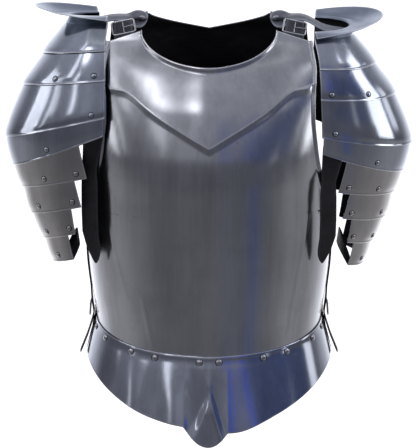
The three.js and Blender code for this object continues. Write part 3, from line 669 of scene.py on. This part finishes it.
def ring_row(ring, share, wrap):
    drop, centre, reach, depth, slope = ring[:5]
    angle = np.radians(wrap * share)
    middle = PAULDRON_INNER + centre * PAULDRON_REACH
    far = reach * PAULDRON_REACH
    x = middle + far * np.cos(angle)
    y = depth * PAULDRON_HALF_DEPTH * np.sin(angle)
    z = -PAULDRON_TOP_DROP - drop * PAULDRON_HEIGHT + slope * (middle + far - x)
    return point(x, y, z)


def lame_controls(columns=97):
    share = np.linspace(-1, 1, columns)
    controls = []
    for i, lame in enumerate(LAMES):
        before = TOP_RING if i == 0 else LAMES[i - 1]
        edge = ring_row(lame, share, lame[6])
        if i == 0:
            seat = [ring_row(TOP_RING, share, TOP_RING[6])]
        else:
            tucked = under(controls[-1], LAME_STEEL + GAP)
            trim = lame[5] / before[6]
            seat = [spread(tucked[row], share * trim) for row in (0, 1)]
        height = np.linalg.norm(edge - seat[0], axis=1, keepdims=True)
        out = point(np.cos(np.radians(lame[6] * share)), np.sin(np.radians(lame[6] * share)), 0)
        swell = mix(edge, seat[0], np.minimum(LAME_OVERLAP / height, 0.6)) + out * height * 0.03
        controls.append(np.array([edge, swell, *seat]))
    for grid, low, high in zip(controls, *LAME_FRONT_REACH):
        for row, reach in zip(grid, (low, mix(low, high, 0.1), *[high] * (len(grid) - 2))):
            row[:, 0] -= reach * ease((-share - 0.78) / 0.22)
    return controls


def collar_controls(first):
    share = np.linspace(-1, 1, first.shape[1])
    tucked = under(first, LAME_STEEL + GAP)
    rim = tucked[-1]
    low = mix(rim, tucked[-2], 0.35)
    angle = np.radians(TOP_RING[6] * share)

    def ring(reach, half_depth, rise):
        y = half_depth * np.sin(angle)
        z = -COLLAR_NECK_DROP + rise * (np.cos(angle) * COLLAR_OUTER_RISE + COLLAR_PITCH * y)
        return point(PAULDRON_INNER + reach * np.cos(angle), y, z)

    neck, brim = (COLLAR_NECK_REACH, COLLAR_NECK_HALF_DEPTH), (COLLAR_REACH, COLLAR_HALF_DEPTH)
    middle = [mix(low_size, high_size, 0.45) for low_size, high_size in zip(neck, brim)]
    upper = [ring(*neck, 0), ring(*middle, 0.2), ring(*brim, 1)]
    for row in upper:
        row[:, 0] -= COLLAR_FRONT_REACH * ease((-share - 0.7) / 0.3)
    return np.array([low, rim, *upper])


def pauldron_place(side, lift, pitch, yaw):
    """Function that puts points of the pauldron where it sits, and its reverse."""
    a, c = math.radians(pitch), math.radians(yaw)
    turn_x = np.array([(1, 0, 0), (0, math.cos(a), -math.sin(a)), (0, math.sin(a), math.cos(a))])
    turn_z = np.array([(math.cos(c), -math.sin(c), 0), (math.sin(c), math.cos(c), 0), (0, 0, 1)])
    turn = turn_z @ turn_x
    pivot = np.array([side * PIVOT_X, 0, lift])
    near = np.array([side * PIVOT_X, 0, 0])

    def place(points):
        return (np.asarray(points) - near) @ turn.T + pivot

    def back_again(points):
        return (np.asarray(points) - pivot) @ turn + near

    return place, back_again


# Materials


def shade(colour, level=1):
    """A colour made lighter or darker, with its opacity."""
    return (*(c * level for c in colour), 1)


class Nodes:
    """Short hand for building a node tree."""

    def __init__(self, tree):
        self.tree = tree

    def put(self, socket, value):
        if isinstance(value, bpy.types.NodeSocket):
            self.tree.links.new(value, socket)
        else:
            socket.default_value = value

    def add(self, kind, inputs=None, **settings):
        node = self.tree.nodes.new(kind)
        for key, value in settings.items():
            setattr(node, key, value)
        for key, value in (inputs or {}).items():
            self.put(node.inputs[key], value)
        return node

    def ramp(self, value, low, high, to_low=0.0, to_high=1.0, kind="LINEAR"):
        inputs = {"Value": value, "From Min": low, "From Max": high, "To Min": to_low, "To Max": to_high}
        return self.add("ShaderNodeMapRange", inputs, interpolation_type=kind).outputs["Result"]

    def math(self, kind, a, b=0.0):
        return self.add("ShaderNodeMath", {0: a, 1: b}, operation=kind).outputs[0]

    def mix(self, share, a, b):
        node = self.add("ShaderNodeMix", data_type="RGBA")
        colours = [s for s in node.inputs if s.type == "RGBA"]
        for socket, value in ((node.inputs["Factor"], share), (colours[0], a), (colours[1], b)):
            self.put(socket, value)
        return [s for s in node.outputs if s.type == "RGBA"][0]


class Surface(Nodes):
    """Short hand for building a material."""

    def __init__(self, name):
        self.material = bpy.data.materials.new(name)
        self.material.use_nodes = True
        super().__init__(self.material.node_tree)
        self.shader = self.tree.nodes["Principled BSDF"]
        self.position = self.add("ShaderNodeTexCoord").outputs["Object"]

    def set(self, **values):
        for key, value in values.items():
            self.put(self.shader.inputs[key.replace("_", " ").title()], value)

    def scaled(self, scale):
        return self.add("ShaderNodeVectorMath", {0: self.position, 1: scale}, operation="MULTIPLY").outputs[0]

    def noise(self, scale, detail=3.0, rough=0.55, vector=None):
        inputs = {"Vector": vector or self.position, "Scale": scale, "Detail": detail, "Roughness": rough}
        return self.add("ShaderNodeTexNoise", inputs).outputs["Fac"]

    def bump(self, height, distance, strength, normal=None):
        inputs = {"Height": height, "Distance": distance, "Strength": strength}
        if normal is not None:
            inputs["Normal"] = normal
        return self.add("ShaderNodeBump", inputs).outputs["Normal"]

    def edge(self):
        return self.add("ShaderNodeAttribute", attribute_name="edge").outputs["Fac"]


def steel(name, base, tint, roughness, spread, dents):
    """Polished plate steel: soft colour clouds, rubbed smears, fine lines down it, edges worn bright."""
    n = Surface(name)
    clouds = n.ramp(n.noise(7, 3), 0.35, 0.68)
    colour = n.mix(clouds, shade(base), shade(tint))
    bands = n.ramp(n.noise(26, 3, 0.55, n.scaled((1, 1, 0.13))), 0.38, 0.66)
    colour = n.mix(n.math("MULTIPLY", bands, 0.55), colour, shade(base, 0.68))
    stains = n.ramp(n.noise(16, 5, 0.62), 0.5, 0.72)
    colour = n.mix(n.math("MULTIPLY", stains, 0.35), colour, shade(base, 0.7))
    uneven = n.math("MULTIPLY", n.noise(60, 3), 2.0)
    worn = n.ramp(n.math("SUBTRACT", n.edge(), uneven), -0.2, 0.9, 1.0, 0.0)
    colour = n.mix(n.math("MULTIPLY", worn, 0.5), colour, (0.74, 0.74, 0.78, 1))
    lines = n.ramp(n.noise(300, 2, 0.5, n.scaled((1, 1, 0.02))), 0.45, 0.8)
    colour = n.mix(n.math("MULTIPLY", lines, 0.1), colour, shade(tint, 1.4))
    spots = n.ramp(n.noise(190, 2), 0.7, 0.76)
    colour = n.mix(n.math("MULTIPLY", spots, 0.22), colour, (0.08, 0.075, 0.08, 1))
    n.set(base_color=colour, metallic=1.0)
    smears = n.ramp(n.noise(6, 4, 0.6, n.scaled((1, 1, 0.3))), 0.35, 0.7, 0, spread)
    n.set(roughness=n.math("ADD", smears, n.math("ADD", n.math("MULTIPLY", lines, 0.03), roughness)))
    soft = n.bump(n.noise(9, 2), 0.003 * dents, 0.2)
    n.set(normal=n.bump(n.noise(150, 2, 0.5), 0.0001, 0.05, soft))
    return n.material


def painted_shade_material(name):
    """Near-black steel as painted shade on plates' inner faces and round rivet heads, with a dull sheen and
    lighter rubbed patches.
    """
    n = Surface(name)
    patches = n.ramp(n.noise(14, 4), 0.4, 0.75)
    n.set(base_color=n.mix(patches, (0.016, 0.016, 0.02, 1), (0.05, 0.05, 0.06, 1)), metallic=1.0)
    n.set(roughness=n.ramp(n.noise(30, 3), 0.3, 0.7, 0.38, 0.55))
    n.set(normal=n.bump(n.noise(120, 3), 0.0003, 0.3))
    return n.material


def strap_leather(name, base, light, crack, gloss, specular):
    """Strap leather: grain, creases across it, colour rubbed off along its edges."""
    n = Surface(name)
    patches = n.ramp(n.noise(35, 4), 0.35, 0.7)
    colour = n.mix(patches, shade(base), shade(light))
    cells = n.add("ShaderNodeTexVoronoi", {"Vector": n.position, "Scale": 620.0}, feature="DISTANCE_TO_EDGE")
    pores = n.ramp(cells.outputs["Distance"], 0.0, 0.22)
    colour = n.mix(n.math("MULTIPLY", n.math("SUBTRACT", 1.0, pores), 0.35), colour, shade(crack))
    uneven = n.math("MULTIPLY", n.noise(90, 3), 2.4)
    worn = n.ramp(n.math("SUBTRACT", n.edge(), uneven), 0.0, 1.6, 1.0, 0.0)
    colour = n.mix(n.math("MULTIPLY", worn, 0.5), colour, shade(light, 1.9))
    n.set(base_color=colour)
    n.shader.inputs["Specular IOR Level"].default_value = specular
    n.set(roughness=n.ramp(n.noise(150, 3), 0.3, 0.7, gloss, gloss + 0.18))
    creases = n.noise(130, 4, 0.65, n.scaled((1, 0.35, 1)))
    n.set(normal=n.bump(pores, 0.00025, 0.5, n.bump(creases, 0.0009, 0.35)))
    return n.material


# Name, two base colours, roughness, its spread and how deep the dents are
BODY_FINISH = steel("body_steel_polished", (0.42, 0.43, 0.46), (0.47, 0.485, 0.53), 0.2, 0.05, 0.25)
FAULD_FINISH = steel("fauld_steel_polished", (0.37, 0.395, 0.46), (0.42, 0.45, 0.53), 0.12, 0.03, 0.8)
UPPER_LAMES = steel("upper_lame_steel_polished", (0.38, 0.41, 0.475), (0.42, 0.45, 0.53), 0.13, 0.04, 0.5)
LOWER_LAMES = steel("lower_lame_steel_satin", (0.42, 0.415, 0.425), (0.48, 0.475, 0.49), 0.22, 0.05, 0.4)
COLLAR_FINISH = steel("collar_steel_satin", (0.27, 0.31, 0.38), (0.32, 0.36, 0.44), 0.34, 0.04, 0.3)
RIVET_STEEL = steel("rivet_steel", (0.38, 0.38, 0.41), (0.46, 0.46, 0.49), 0.18, 0.04, 0.2)
# Painted shade: near-black steel for the plates' inner faces and the rings round rivet heads
PAINTED_SHADE = painted_shade_material("painted_shade_dark_steel")
# Name, base, light and crack colours, roughness and specular level
BLACK_LEATHER = strap_leather("black_leather", (0.004, 0.004, 0.006), (0.009, 0.009, 0.012),
                              (0.001, 0.001, 0.002), 0.5, 0.2)
DARK_LEATHER = strap_leather("dark_grey_leather", (0.022, 0.025, 0.034), (0.05, 0.055, 0.07),
                             (0.006, 0.007, 0.01), 0.45, 0.35)
GREY_LEATHER = strap_leather("blue_grey_leather", (0.13, 0.142, 0.17), (0.22, 0.235, 0.28),
                             (0.02, 0.022, 0.03), 0.45, 0.35)


# Body plates

breast = breastplate_grid()
fauld = fauld_grid(breast)
# Each plate's inner face takes the near-black painted shade
for plate, grid, finish, node in (
    ("breastplate_plate", breast, BODY_FINISH, "breastplate"),
    ("backplate_plate", backplate_grid(), BODY_FINISH, "backplate"),
    ("fauld_plate", fauld, FAULD_FINISH, "fauld_front"),
):
    Parts().shell(grid, BODY_STEEL).piece(plate, finish, "body_steel", node, PAINTED_SHADE)


def facet_middle(grid, i, share):
    """Point and outward normal on a grid row, at a share from -1 to 1 across it."""
    return spread(grid[i], share), unit(spread(grid_normals(grid)[i], share))


def fauld_rivets():
    """Domed rivets in the middle of the fauld's band, at the solids' places."""
    middle = FAULD_RIVET_GRID // 2
    places = sorted([middle - 1 - c for c in FAULD_RIVET_COLUMNS] + [middle + c for c in FAULD_RIVET_COLUMNS])
    shares = fauld_columns(breast.shape[1])[1]
    for k, column in enumerate(places):
        share = 2 * (column + 0.5) / FAULD_RIVET_GRID - 1
        across = np.interp(share, shares, np.linspace(-1, 1, len(shares)))
        seat = facet_middle(fauld, len(fauld) - 3, across)
        # Each head has its painted-shadow ring round it
        head = Parts().rivet(RIVET_HEAD_RADIUS, RIVET_HEAD_HEIGHT, -1, 0.9, *seat)
        node = f"fauld_rivet_{k + 1}"
        head.piece(f"fauld_rivet_head_{k + 1}", RIVET_STEEL, "pale_steel", node, PAINTED_SHADE)


fauld_rivets()


# Pauldrons

controls = lame_controls()


def leather_rows(start, end):
    """An inner leather, from the lowest lame up, between two shares across them."""
    rows = []
    for i, grid in enumerate(controls):
        inner = under(grid, LAME_STEEL + 2 * GAP)
        seats = [mix(inner[1], inner[2], 0.4)] if i == 0 else [inner[3], inner[2]]
        rows.extend(spread(row, np.linspace(start, end, 9)) for row in seats)
    return np.array(rows[::-1])


def arm_strap_rows():
    """The strap between the lowest lame's front and rear ends."""
    inner = under(controls[-1], LAME_STEEL + GAP)
    rows = []
    for edge, rise in zip(inner, ARM_STRAP_RISE):
        loop = [spread(edge, 0.86)]
        for t in np.linspace(-1, 1, 15):
            bow = 1 - t * t
            loop.append(mix(edge[-1], edge[0], (t + 1) / 2) + (-ARM_STRAP_REACH * bow, 0, rise * bow))
        loop.append(spread(edge, -0.86))
        rows.append(loop)
    return resample(np.array(rows), 7)


def tongue_rows(side, place, back_again):
    """The leather that hangs straight down from the fourth lame's front end."""
    inner = under(controls[3], LAME_STEEL + GAP)
    ends = np.linspace(-1, -0.86, 7)
    head, foot = spread(inner[1], ends), spread(inner[0], ends)
    flip = np.array([side, 1, 1])
    level = place(foot[0] * flip)[2]
    rows = [head, foot]
    for drop, width in TONGUE_SHAPE:
        middle = np.array([TONGUE_X - 9 * ease((drop - 0.7) / 0.3), TONGUE_Y, mix(level, -TONGUE_DROP, drop)])
        line = middle + np.linspace(-0.5, 0.5, 7)[:, None] * width * np.array([0.8, 0.6, 0])
        rows.append(back_again(line * flip) * flip)
    return np.array(rows[::-1])


def pauldron(name):
    """One pauldron, and the function that puts points where it sits."""
    side = POSES[name][0]
    place, back_again = pauldron_place(*POSES[name])

    def sheet(rows, thickness, dark_rows=None):
        return Parts().shell(place(mirrored(rows, side)), thickness, dark_rows)

    for number, control in enumerate(controls, 1):
        rows = resample(control, [*LAME_EDGE_ROWS, *np.linspace(0.85, len(control) - 1, 17)])
        turned = LAME_TURN * (1 - ease(length_along(rows, 0) / LAME_TURN_REACH)) ** 1.3
        rows = rows + grid_normals(rows) * turned[..., None]
        lame = sheet(rows, LAME_STEEL)
        for share in LAME_RIVETS.get(number, ()):
            for sign in (-1, 1):
                centre, normal = facet_middle(mirrored(rows, side), LAME_RIVET_ROW, sign * (1 - 2 * share))
                seat = place(centre)
                axis = place(centre + normal) - seat
                lame.rivet(LAME_RIVET_RADIUS, LAME_RIVET_HEIGHT, -0.8, 0.8, seat, axis, 20)
        finish, slot = (UPPER_LAMES, "body_steel") if number < 5 else (LOWER_LAMES, "pale_steel")
        node = f"pauldron_{name}_lame_{number}"
        # The lame's inner face and its rivets' rings take the near-black painted shade
        lame.piece(f"pauldron_plate_{name}_{number}", finish, slot, node, PAINTED_SHADE)
    # The collar's inner face is near black over its lower 19 rows: painted shade at the neck
    collar = sheet(resample(collar_controls(controls[0]), 40), LAME_STEEL, dark_rows=19)
    collar.piece(f"collar_plate_{name}", COLLAR_FINISH, "pale_steel", f"pauldron_{name}_collar", PAINTED_SHADE)
    half = LEATHER_WIDTH / PAULDRON_REACH * 0.3
    for end, at in (("front", -0.62), ("rear", 0.62)):
        node = f"pauldron_{name}_leather_{end}"
        leather = sheet(leather_rows(at - half, at + half), LEATHER)
        leather.piece(f"inner_leather_{name}_{end}", BLACK_LEATHER, "black_leather", node)
    strap = sheet(arm_strap_rows(), LEATHER)
    strap.piece(f"arm_strap_leather_{name}", BLACK_LEATHER, "black_leather", f"pauldron_{name}_arm_strap")
    tongue = sheet(tongue_rows(side, place, back_again), LEATHER)
    tongue.piece(f"tongue_leather_{name}", BLACK_LEATHER, "black_leather", f"pauldron_{name}_tongue")
    return place


# Straps and buckles


def strip(points, width, across, columns=7):
    """Rows of a strip along points, `across` being its width's direction."""
    row = np.linspace(-0.5, 0.5, columns)[:, None] * width * np.asarray(across, float)
    return np.asarray(points, float)[:, None, :] + row


def curve_through(points, count):
    grid = resample(np.asarray(points, float)[:, None, :].repeat(2, axis=1), count)
    return grid[:, 0]


def shoulder_edge(neck, shoulder, x):
    return mix(shoulder[1], shoulder[2], (np.abs(x) - neck[0]) / (shoulder[0] - neck[0]))


def shoulder_lap(face, x, share):
    front = face == "front"
    edge = shoulder_edge(*((FRONT_NECK, FRONT_SHOULDER) if front else (BACK_NECK, BACK_SHOULDER)), x)
    drop = edge + SHOULDER_STRAP_LAP * share
    clear = -BODY_STEEL - GAP if front else SHOULDER_STRAP_THICKNESS + 4 * GAP
    return body_point(face, x, drop) + body_normal(face, x, drop) * clear


def shoulder_strap_rows(side):
    """From inside the breastplate, over the top, down the backplate, with an ear on the neck side behind."""
    rows = []
    stations = [("front", t) for t in (1, 0.75, 0.5, 0.25, 0)]
    stations += [("top", y) for y in (-13, -10.4, 0, 13)] + [("back", t) for t in (0, 0.25, 0.5, 0.75, 1)]
    for i, (kind, value) in enumerate(stations):
        ear = SHOULDER_STRAP_EAR if i > 5 else 0
        x = side * np.linspace(SHOULDER_STRAP_X - SHOULDER_STRAP_WIDTH / 2 - ear,
                               SHOULDER_STRAP_X + SHOULDER_STRAP_WIDTH / 2, 9)
        row = point(x, value, SHOULDER_STRAP_THICKNESS) if kind == "top" else shoulder_lap(kind, x, value)
        rows.append(row if side > 0 else row[::-1])
    return np.array(rows)


def middle_of(node):
    """Middle of a solid's box."""
    low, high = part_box(node)
    return (np.array(low) + np.array(high)) / 2 / MM


def buckle(centre, normal, along, width, length, turn=0):
    """A frame of round bar with softened corners, its middle bar and the prong that lies across it."""
    normal = unit(np.asarray(normal, float))
    u = unit(np.asarray(along, float) - normal * np.dot(along, normal))
    u = u * math.cos(turn) + np.cross(normal, u) * math.sin(turn)
    v = np.cross(normal, u)
    half_u, half_v = width / 2 - BAR_RADIUS, length / 2 - BAR_RADIUS
    loop = []
    for su, sv, start in ((1, 1, 0), (-1, 1, 90), (-1, -1, 180), (1, -1, 270)):
        for step in range(6):
            a = math.radians(start + step * 18)
            cu = su * (half_u - BUCKLE_CORNER) + BUCKLE_CORNER * math.cos(a)
            cv = sv * (half_v - BUCKLE_CORNER) + BUCKLE_CORNER * math.sin(a)
            loop.append(centre + u * cu + v * cv + normal * BAR_RADIUS)
    bar = [centre + v * s * half_v + normal * BAR_RADIUS * 0.4 for s in np.linspace(-1, 1, 5)]
    prong = []
    for s in np.linspace(0, 1, 9):
        rise = BAR_RADIUS * mix(0.9, 2.4, s) + 0.5 * math.sin(s * math.pi)
        prong.append(centre + u * mix(-0.5, half_u + 1.4, s) + normal * rise)
    parts = Parts().tube(loop, BAR_RADIUS, 12, closed=True).tube(bar, BAR_RADIUS * 0.6, 10)
    return parts.tube(prong, BAR_RADIUS * 0.5, 10)


def shoulder_strap(name):
    side = POSES[name][0]
    rows = shoulder_strap_rows(side)
    strap = Parts().shell(resample(rows, 60), SHOULDER_STRAP_THICKNESS)
    strap.piece(f"shoulder_strap_leather_{name}", DARK_LEATHER, "grey_leather", f"shoulder_strap_{name}")
    up = rows[4].mean(axis=0) - rows[2].mean(axis=0)
    normal = unit(np.cross(rows[3, -1] - rows[3, 0], up))
    seat = middle_of(f"shoulder_buckle_{name}") + normal * 0.6 - unit(up) * 3
    parts = buckle(seat, normal, (1, 0, 0), BUCKLE_WIDTH, BUCKLE_LENGTH, SHOULDER_BUCKLE_TURN * side)
    parts.piece(f"shoulder_buckle_frame_{name}", RIVET_STEEL, "pale_steel", f"shoulder_buckle_{name}")


def pauldron_strap(name, place):
    """The band from the neck side to the collar: a round, tilted end with one rivet, a rolled front edge."""
    side = POSES[name][0]
    reach = PAULDRON_INNER + COLLAR_NECK_REACH - LAME_STEEL
    far = place(np.array([side * reach, 0, -COLLAR_NECK_DROP - 8]))
    top = SHOULDER_STRAP_THICKNESS + GAP + HANGER_THICKNESS
    neck_end = SHOULDER_STRAP_X - SHOULDER_STRAP_WIDTH / 2 - SHOULDER_STRAP_EAR - 1
    band = [np.array([side * x, 0, z]) for x, z in (
        (neck_end, top), (neck_end + 4 * STRAP_RIVET_RADIUS, top),
        (SHOULDER_STRAP_X + SHOULDER_STRAP_WIDTH / 2 + 1, top), (PAULDRON_INNER + 14, mix(top, far[2], 0.7)))]
    rows = strip(curve_through([*band, far], 40), HANGER_WIDTH, (0, -side, 0), 21)
    rolled = np.clip((HANGER_ROLL_Y - rows[..., 1]) / HANGER_ROLL_WIDTH, 0, 1) ** 2
    rows[..., 1:] -= rolled[..., None] * HANGER_ROLL
    tilt = HANGER_TILT * (1 - ease((np.abs(rows[..., 0]) - neck_end - 16) / 18))
    lean = rows[..., 1] - HANGER_TILT_Y
    rows[..., 1] = HANGER_TILT_Y + lean * np.cos(tilt)
    rows[..., 2] += lean * np.sin(tilt)
    line = rows[:, rows.shape[1] // 2, None].copy()
    from_round = np.clip(1 - np.linalg.norm(line - line[0], axis=-1) / (HANGER_WIDTH / 2), 0, 1)
    narrow = np.sqrt(np.clip(1 - from_round**2, 0.05, 1))
    strap = Parts().shell(line + (rows - line) * narrow[..., None], HANGER_THICKNESS)
    strap.piece(f"pauldron_strap_leather_{name}", GREY_LEATHER, "grey_leather", f"pauldron_strap_{name}")
    along = np.array([0, math.cos(HANGER_TILT), math.sin(HANGER_TILT)])
    normal = np.array([0, -math.sin(HANGER_TILT), math.cos(HANGER_TILT)])
    seat = mix(band[0], band[1], 0.36) + (0, HANGER_TILT_Y, 0) - along * 8 + normal * 0.3
    # Its head too has the painted-shadow ring round it
    head = Parts().rivet(STRAP_RIVET_RADIUS, RIVET_HEAD_HEIGHT, -1, 0.9, seat, normal, 28)
    node = f"pauldron_strap_rivet_{name}"
    head.piece(f"pauldron_strap_rivet_head_{name}", RIVET_STEEL, "pale_steel", node, PAINTED_SHADE)


def side_strap(name):
    side = POSES[name][0]
    waist = waist_line(1)
    points = []
    for t in np.linspace(0, 1, 26):
        drop = mix(SIDE_STRAP_TOP_DROP, SIDE_STRAP_END_DROP, t)
        over = (BODY_STEEL + FAULD_GAP) * ease((drop - (waist - 3 * WAIST_TUCK)) / (2 * WAIST_TUCK))
        clear = SIDE_STRAP_THICKNESS + 2 * GAP + over
        x = half_width_at(min(drop, WAIST_DROP)) + clear + FAULD_SIDE_FLARE / 40 * max(drop - waist, 0)
        points.append((side * x, 0, -drop))
    strap = Parts().shell(strip(points[::-1], SIDE_STRAP_WIDTH, (0, side, 0)), SIDE_STRAP_THICKNESS)
    strap.piece(f"side_strap_leather_{name}", BLACK_LEATHER, "black_leather", f"side_strap_{name}")
    normal = unit(np.array([side, 0, 0.06]))
    seat = middle_of(f"side_buckle_{name}") - normal * BUCKLE_BAR / 2
    parts = buckle(seat, normal, (0, 1, 0), SIDE_STRAP_WIDTH + 8, BUCKLE_LENGTH)
    parts.piece(f"side_buckle_frame_{name}", RIVET_STEEL, "pale_steel", f"side_buckle_{name}")


for wearer_side in POSES:
    sits = pauldron(wearer_side)
    shoulder_strap(wearer_side)
    pauldron_strap(wearer_side, sits)
    side_strap(wearer_side)


# Floor, light and camera


# Light round the armour, by direction: azimuth 0 is in front and 90 on +X, in degrees. ROOM gives the
# brightness by height in front of it; each window is azimuth, height, width, tall, softness and lean,
# then colour, brightness and share. LIGHT is the strength of all of it.
LIGHT = 0.8
ROOM = [
    (-90, 0.30), (-30, 0.26), (-12, 0.2), (8, 0.22), (20, 0.4), (32, 0.5), (45, 0.62), (60, 0.74), (78, 0.5),
    (90, 0.4),
]
COOL = (0.93, 0.94, 1.06)
NEUTRAL = (1.0, 1.0, 1.02)
NAVY = (0.45, 0.62, 1.3)
BLUE = (0.13, 0.26, 1.0)
PALE_BLUE = (0.6, 0.75, 1.15)
DEEP_BLUE = (0.02, 0.12, 1.0)
UNDERSIDE = (0.26, 0.255, 0.26, 1)
LOW_SIDES = (0.56, 0.55, 0.56, 1)
BEHIND = (2.3, 2.3, 2.4, 1)
WINDOWS = [
    ((38, 50, 42, 44, 10, 0), COOL, 0.6, 0.9),
    ((64, 17, 76, 20, 8, 0), NAVY, 0.2, 0.9),
    ((0, 68, 130, 5, 3, 0), NEUTRAL, 1.1, 0.9),
    ((-28, 50, 10, 10, 8, 0), NEUTRAL, 8.5, 1.0),
    ((54, 41, 8, 7, 6, -0.6), NEUTRAL, 3.4, 1.0),
    ((-15, 26, 7, 16, 4, 0), COOL, 0.6, 0.8),
    ((0, 24, 5, 14, 4, 0), COOL, 0.6, 0.8),
    ((-30, 29, 4.5, 18, 2.5, 0), NEUTRAL, 3.2, 1.0),
    ((-53, 27, 7, 12, 4, 0), NEUTRAL, 1.7, 1.0),
    ((-67, 13, 2.5, 7, 2, 0), NEUTRAL, 2.2, 1.0),
    ((-86, 20, 4, 14, 3, 0), NEUTRAL, 1.2, 1.0),
    ((82, 26, 3.5, 16, 2, 0), NEUTRAL, 1.8, 1.0),
    ((46, 8, 2.5, 8, 2, 0), NEUTRAL, 1.3, 0.9),
    ((67, 9, 3.5, 6, 2, 0), NEUTRAL, 2.4, 0.95),
    ((34, -14, 14, 22, 12, 0), PALE_BLUE, 0.26, 0.5),
    ((102, 12, 12, 16, 4, 0), NEUTRAL, 2.2, 1.0),
    ((24, 30, 8, 8, 6, 0), BLUE, 0.6, 0.7),
    ((31, -22, 4, 24, 6, 0), BLUE, 0.5, 0.6),
    ((60, 26, 5, 10, 3, 0), BLUE, 0.5, 0.9),
    ((24, 18, 2, 9, 2, 0.2), DEEP_BLUE, 1.15, 1.0),
]


def studio():
    """A dim room in front, soft white windows to both sides and behind, a blue one on the right."""
    world = bpy.data.worlds.new("studio")
    bpy.context.scene.world = world
    world.use_nodes = True
    world.node_tree.nodes.clear()
    n = Nodes(world.node_tree)
    direction = n.add("ShaderNodeTexCoord").outputs["Generated"]
    x, y, z = n.add("ShaderNodeSeparateXYZ", {0: direction}).outputs
    degree = 180 / math.pi
    azimuth = n.math("MULTIPLY", n.math("ARCTAN2", x, n.math("MULTIPLY", y, -1.0)), degree)
    height = n.math("MULTIPLY", n.math("ARCSINE", z), degree)

    def fade(value, low, high, to_low=0.0, to_high=1.0):
        return n.ramp(value, low, high, to_low, to_high, "SMOOTHSTEP")

    def near(value, half, soft):
        return fade(n.math("ABSOLUTE", value), max(half - soft / 2, 0), half + soft / 2, 1.0, 0.0)

    def window(at, level, width, tall, soft, lean):
        over = n.math("SUBTRACT", height, level)
        aside = n.math("SUBTRACT", n.math("SUBTRACT", azimuth, at), n.math("MULTIPLY", over, lean))
        return n.math("MULTIPLY", near(aside, width / 2, soft), near(over, tall / 2, soft))

    room = shade(COOL, ROOM[0][1])
    for (low, _), (high, level) in zip(ROOM, ROOM[1:]):
        room = n.mix(n.ramp(height, low, high), room, shade(COOL, level))
    around = n.math("ABSOLUTE", azimuth)
    room = n.mix(fade(height, -20, -5, 0.6, 0.0), room, UNDERSIDE)
    low_side = n.math("MULTIPLY", fade(around, 35, 95), fade(height, -14, -4, 1.0, 0.0))
    room = n.mix(low_side, room, LOW_SIDES)
    behind = n.math("MULTIPLY", fade(around, 105, 168), fade(height, 12, 60, 1.0, 0.1))
    room = n.mix(behind, room, BEHIND)
    for place, colour, bright, share in WINDOWS:
        room = n.mix(n.math("MULTIPLY", window(*place), share), room, shade(colour, bright))
    lit = n.add("ShaderNodeBackground", {"Color": room, "Strength": LIGHT}).outputs[0]
    pale = n.add("ShaderNodeBackground", {"Color": (1.0, 1.0, 1.0, 1), "Strength": 1.0}).outputs[0]
    seen = n.add("ShaderNodeLightPath").outputs["Is Camera Ray"]
    both = n.add("ShaderNodeMixShader", {0: seen, 1: lit, 2: pale}).outputs[0]
    n.add("ShaderNodeOutputWorld", {"Surface": both})


studio()


def area_light(name, place, aim, size, power):
    data = bpy.data.lights.new(name, "AREA")
    data.shape = "RECTANGLE"
    data.size, data.size_y = size
    data.energy = power
    light = bpy.data.objects.new(name, data)
    bpy.context.scene.collection.objects.link(light)
    light.location = place
    look(light, aim)
    light.visible_camera = False
    return light


def look(thing, aim):
    thing.rotation_euler = (Vector(aim) - thing.location).to_track_quat("-Z", "Y").to_euler()


FLOOR_HALF_WIDTH = 40
FLOOR_HEIGHT = -1.45


def make_floor():
    n = Surface("pale_floor")
    pale = n.mix(n.ramp(n.noise(3, 4), 0.3, 0.7), (0.9, 0.9, 0.9, 1), (0.94, 0.94, 0.94, 1))
    n.set(base_color=pale, emission_color=pale, emission_strength=0.7, roughness=0.85)
    mesh = bpy.data.meshes.new("floor")
    s = FLOOR_HALF_WIDTH
    mesh.from_pydata([(-s, -s, 0), (s, -s, 0), (s, s, 0), (-s, s, 0)], [], [(0, 1, 2, 3)])
    mesh.materials.append(n.material)
    floor = bpy.data.objects.new("floor", mesh)
    bpy.context.scene.collection.objects.link(floor)
    floor.location = (0, 0, FLOOR_HEIGHT)
    floor.visible_glossy = False


# Narrow lights close to either shoulder: x, y, z, width, height, brightness and the share of y they aim at
SIDE_LIGHTS = [
    (-0.7, -0.19, 0.06, 0.20, 0.5, 1.7, 1), (-0.7, -0.385, 0.07, 0.035, 0.4, 1.5, 1),
    (0.7, -0.14, 0.075, 0.2, 0.55, 2.8, 1), (-0.425, -0.304, 0.4, 0.045, 0.6, 1.8, 0.35),
]

make_floor()
key = area_light("key", (-1.6, -2.4, 4.2), (0, 0, -0.25), (1.2, 0.9), 25)
key.visible_glossy = False
for number, (x, y, z, width, tall, bright, share) in enumerate(SIDE_LIGHTS):
    power = bright * width * tall * math.pi
    area_light(f"side_{number}", (x, y, z), (0.35 * x, share * y, z), (width, tall), power)

CAMERA_DISTANCE = 7.0
CAMERA_ELEVATION = 12.5
SCALE = 1.57 * MM
LONG_SIDE = 448
SENSOR = 36
AIM = (-0.0016, 0, -0.327)

camera_data = bpy.data.cameras.new("camera")
camera_data.sensor_width = SENSOR
camera_data.lens = CAMERA_DISTANCE * SENSOR / (LONG_SIDE * SCALE)
camera = bpy.data.objects.new("camera", camera_data)
bpy.context.scene.collection.objects.link(camera)
tilt = math.radians(CAMERA_ELEVATION)
away = CAMERA_DISTANCE * Vector((0, -math.cos(tilt), math.sin(tilt)))
camera.location = Vector(AIM) + away
look(camera, AIM)
bpy.context.scene.camera = camera
bpy.context.scene.view_settings.view_transform = "Standard"
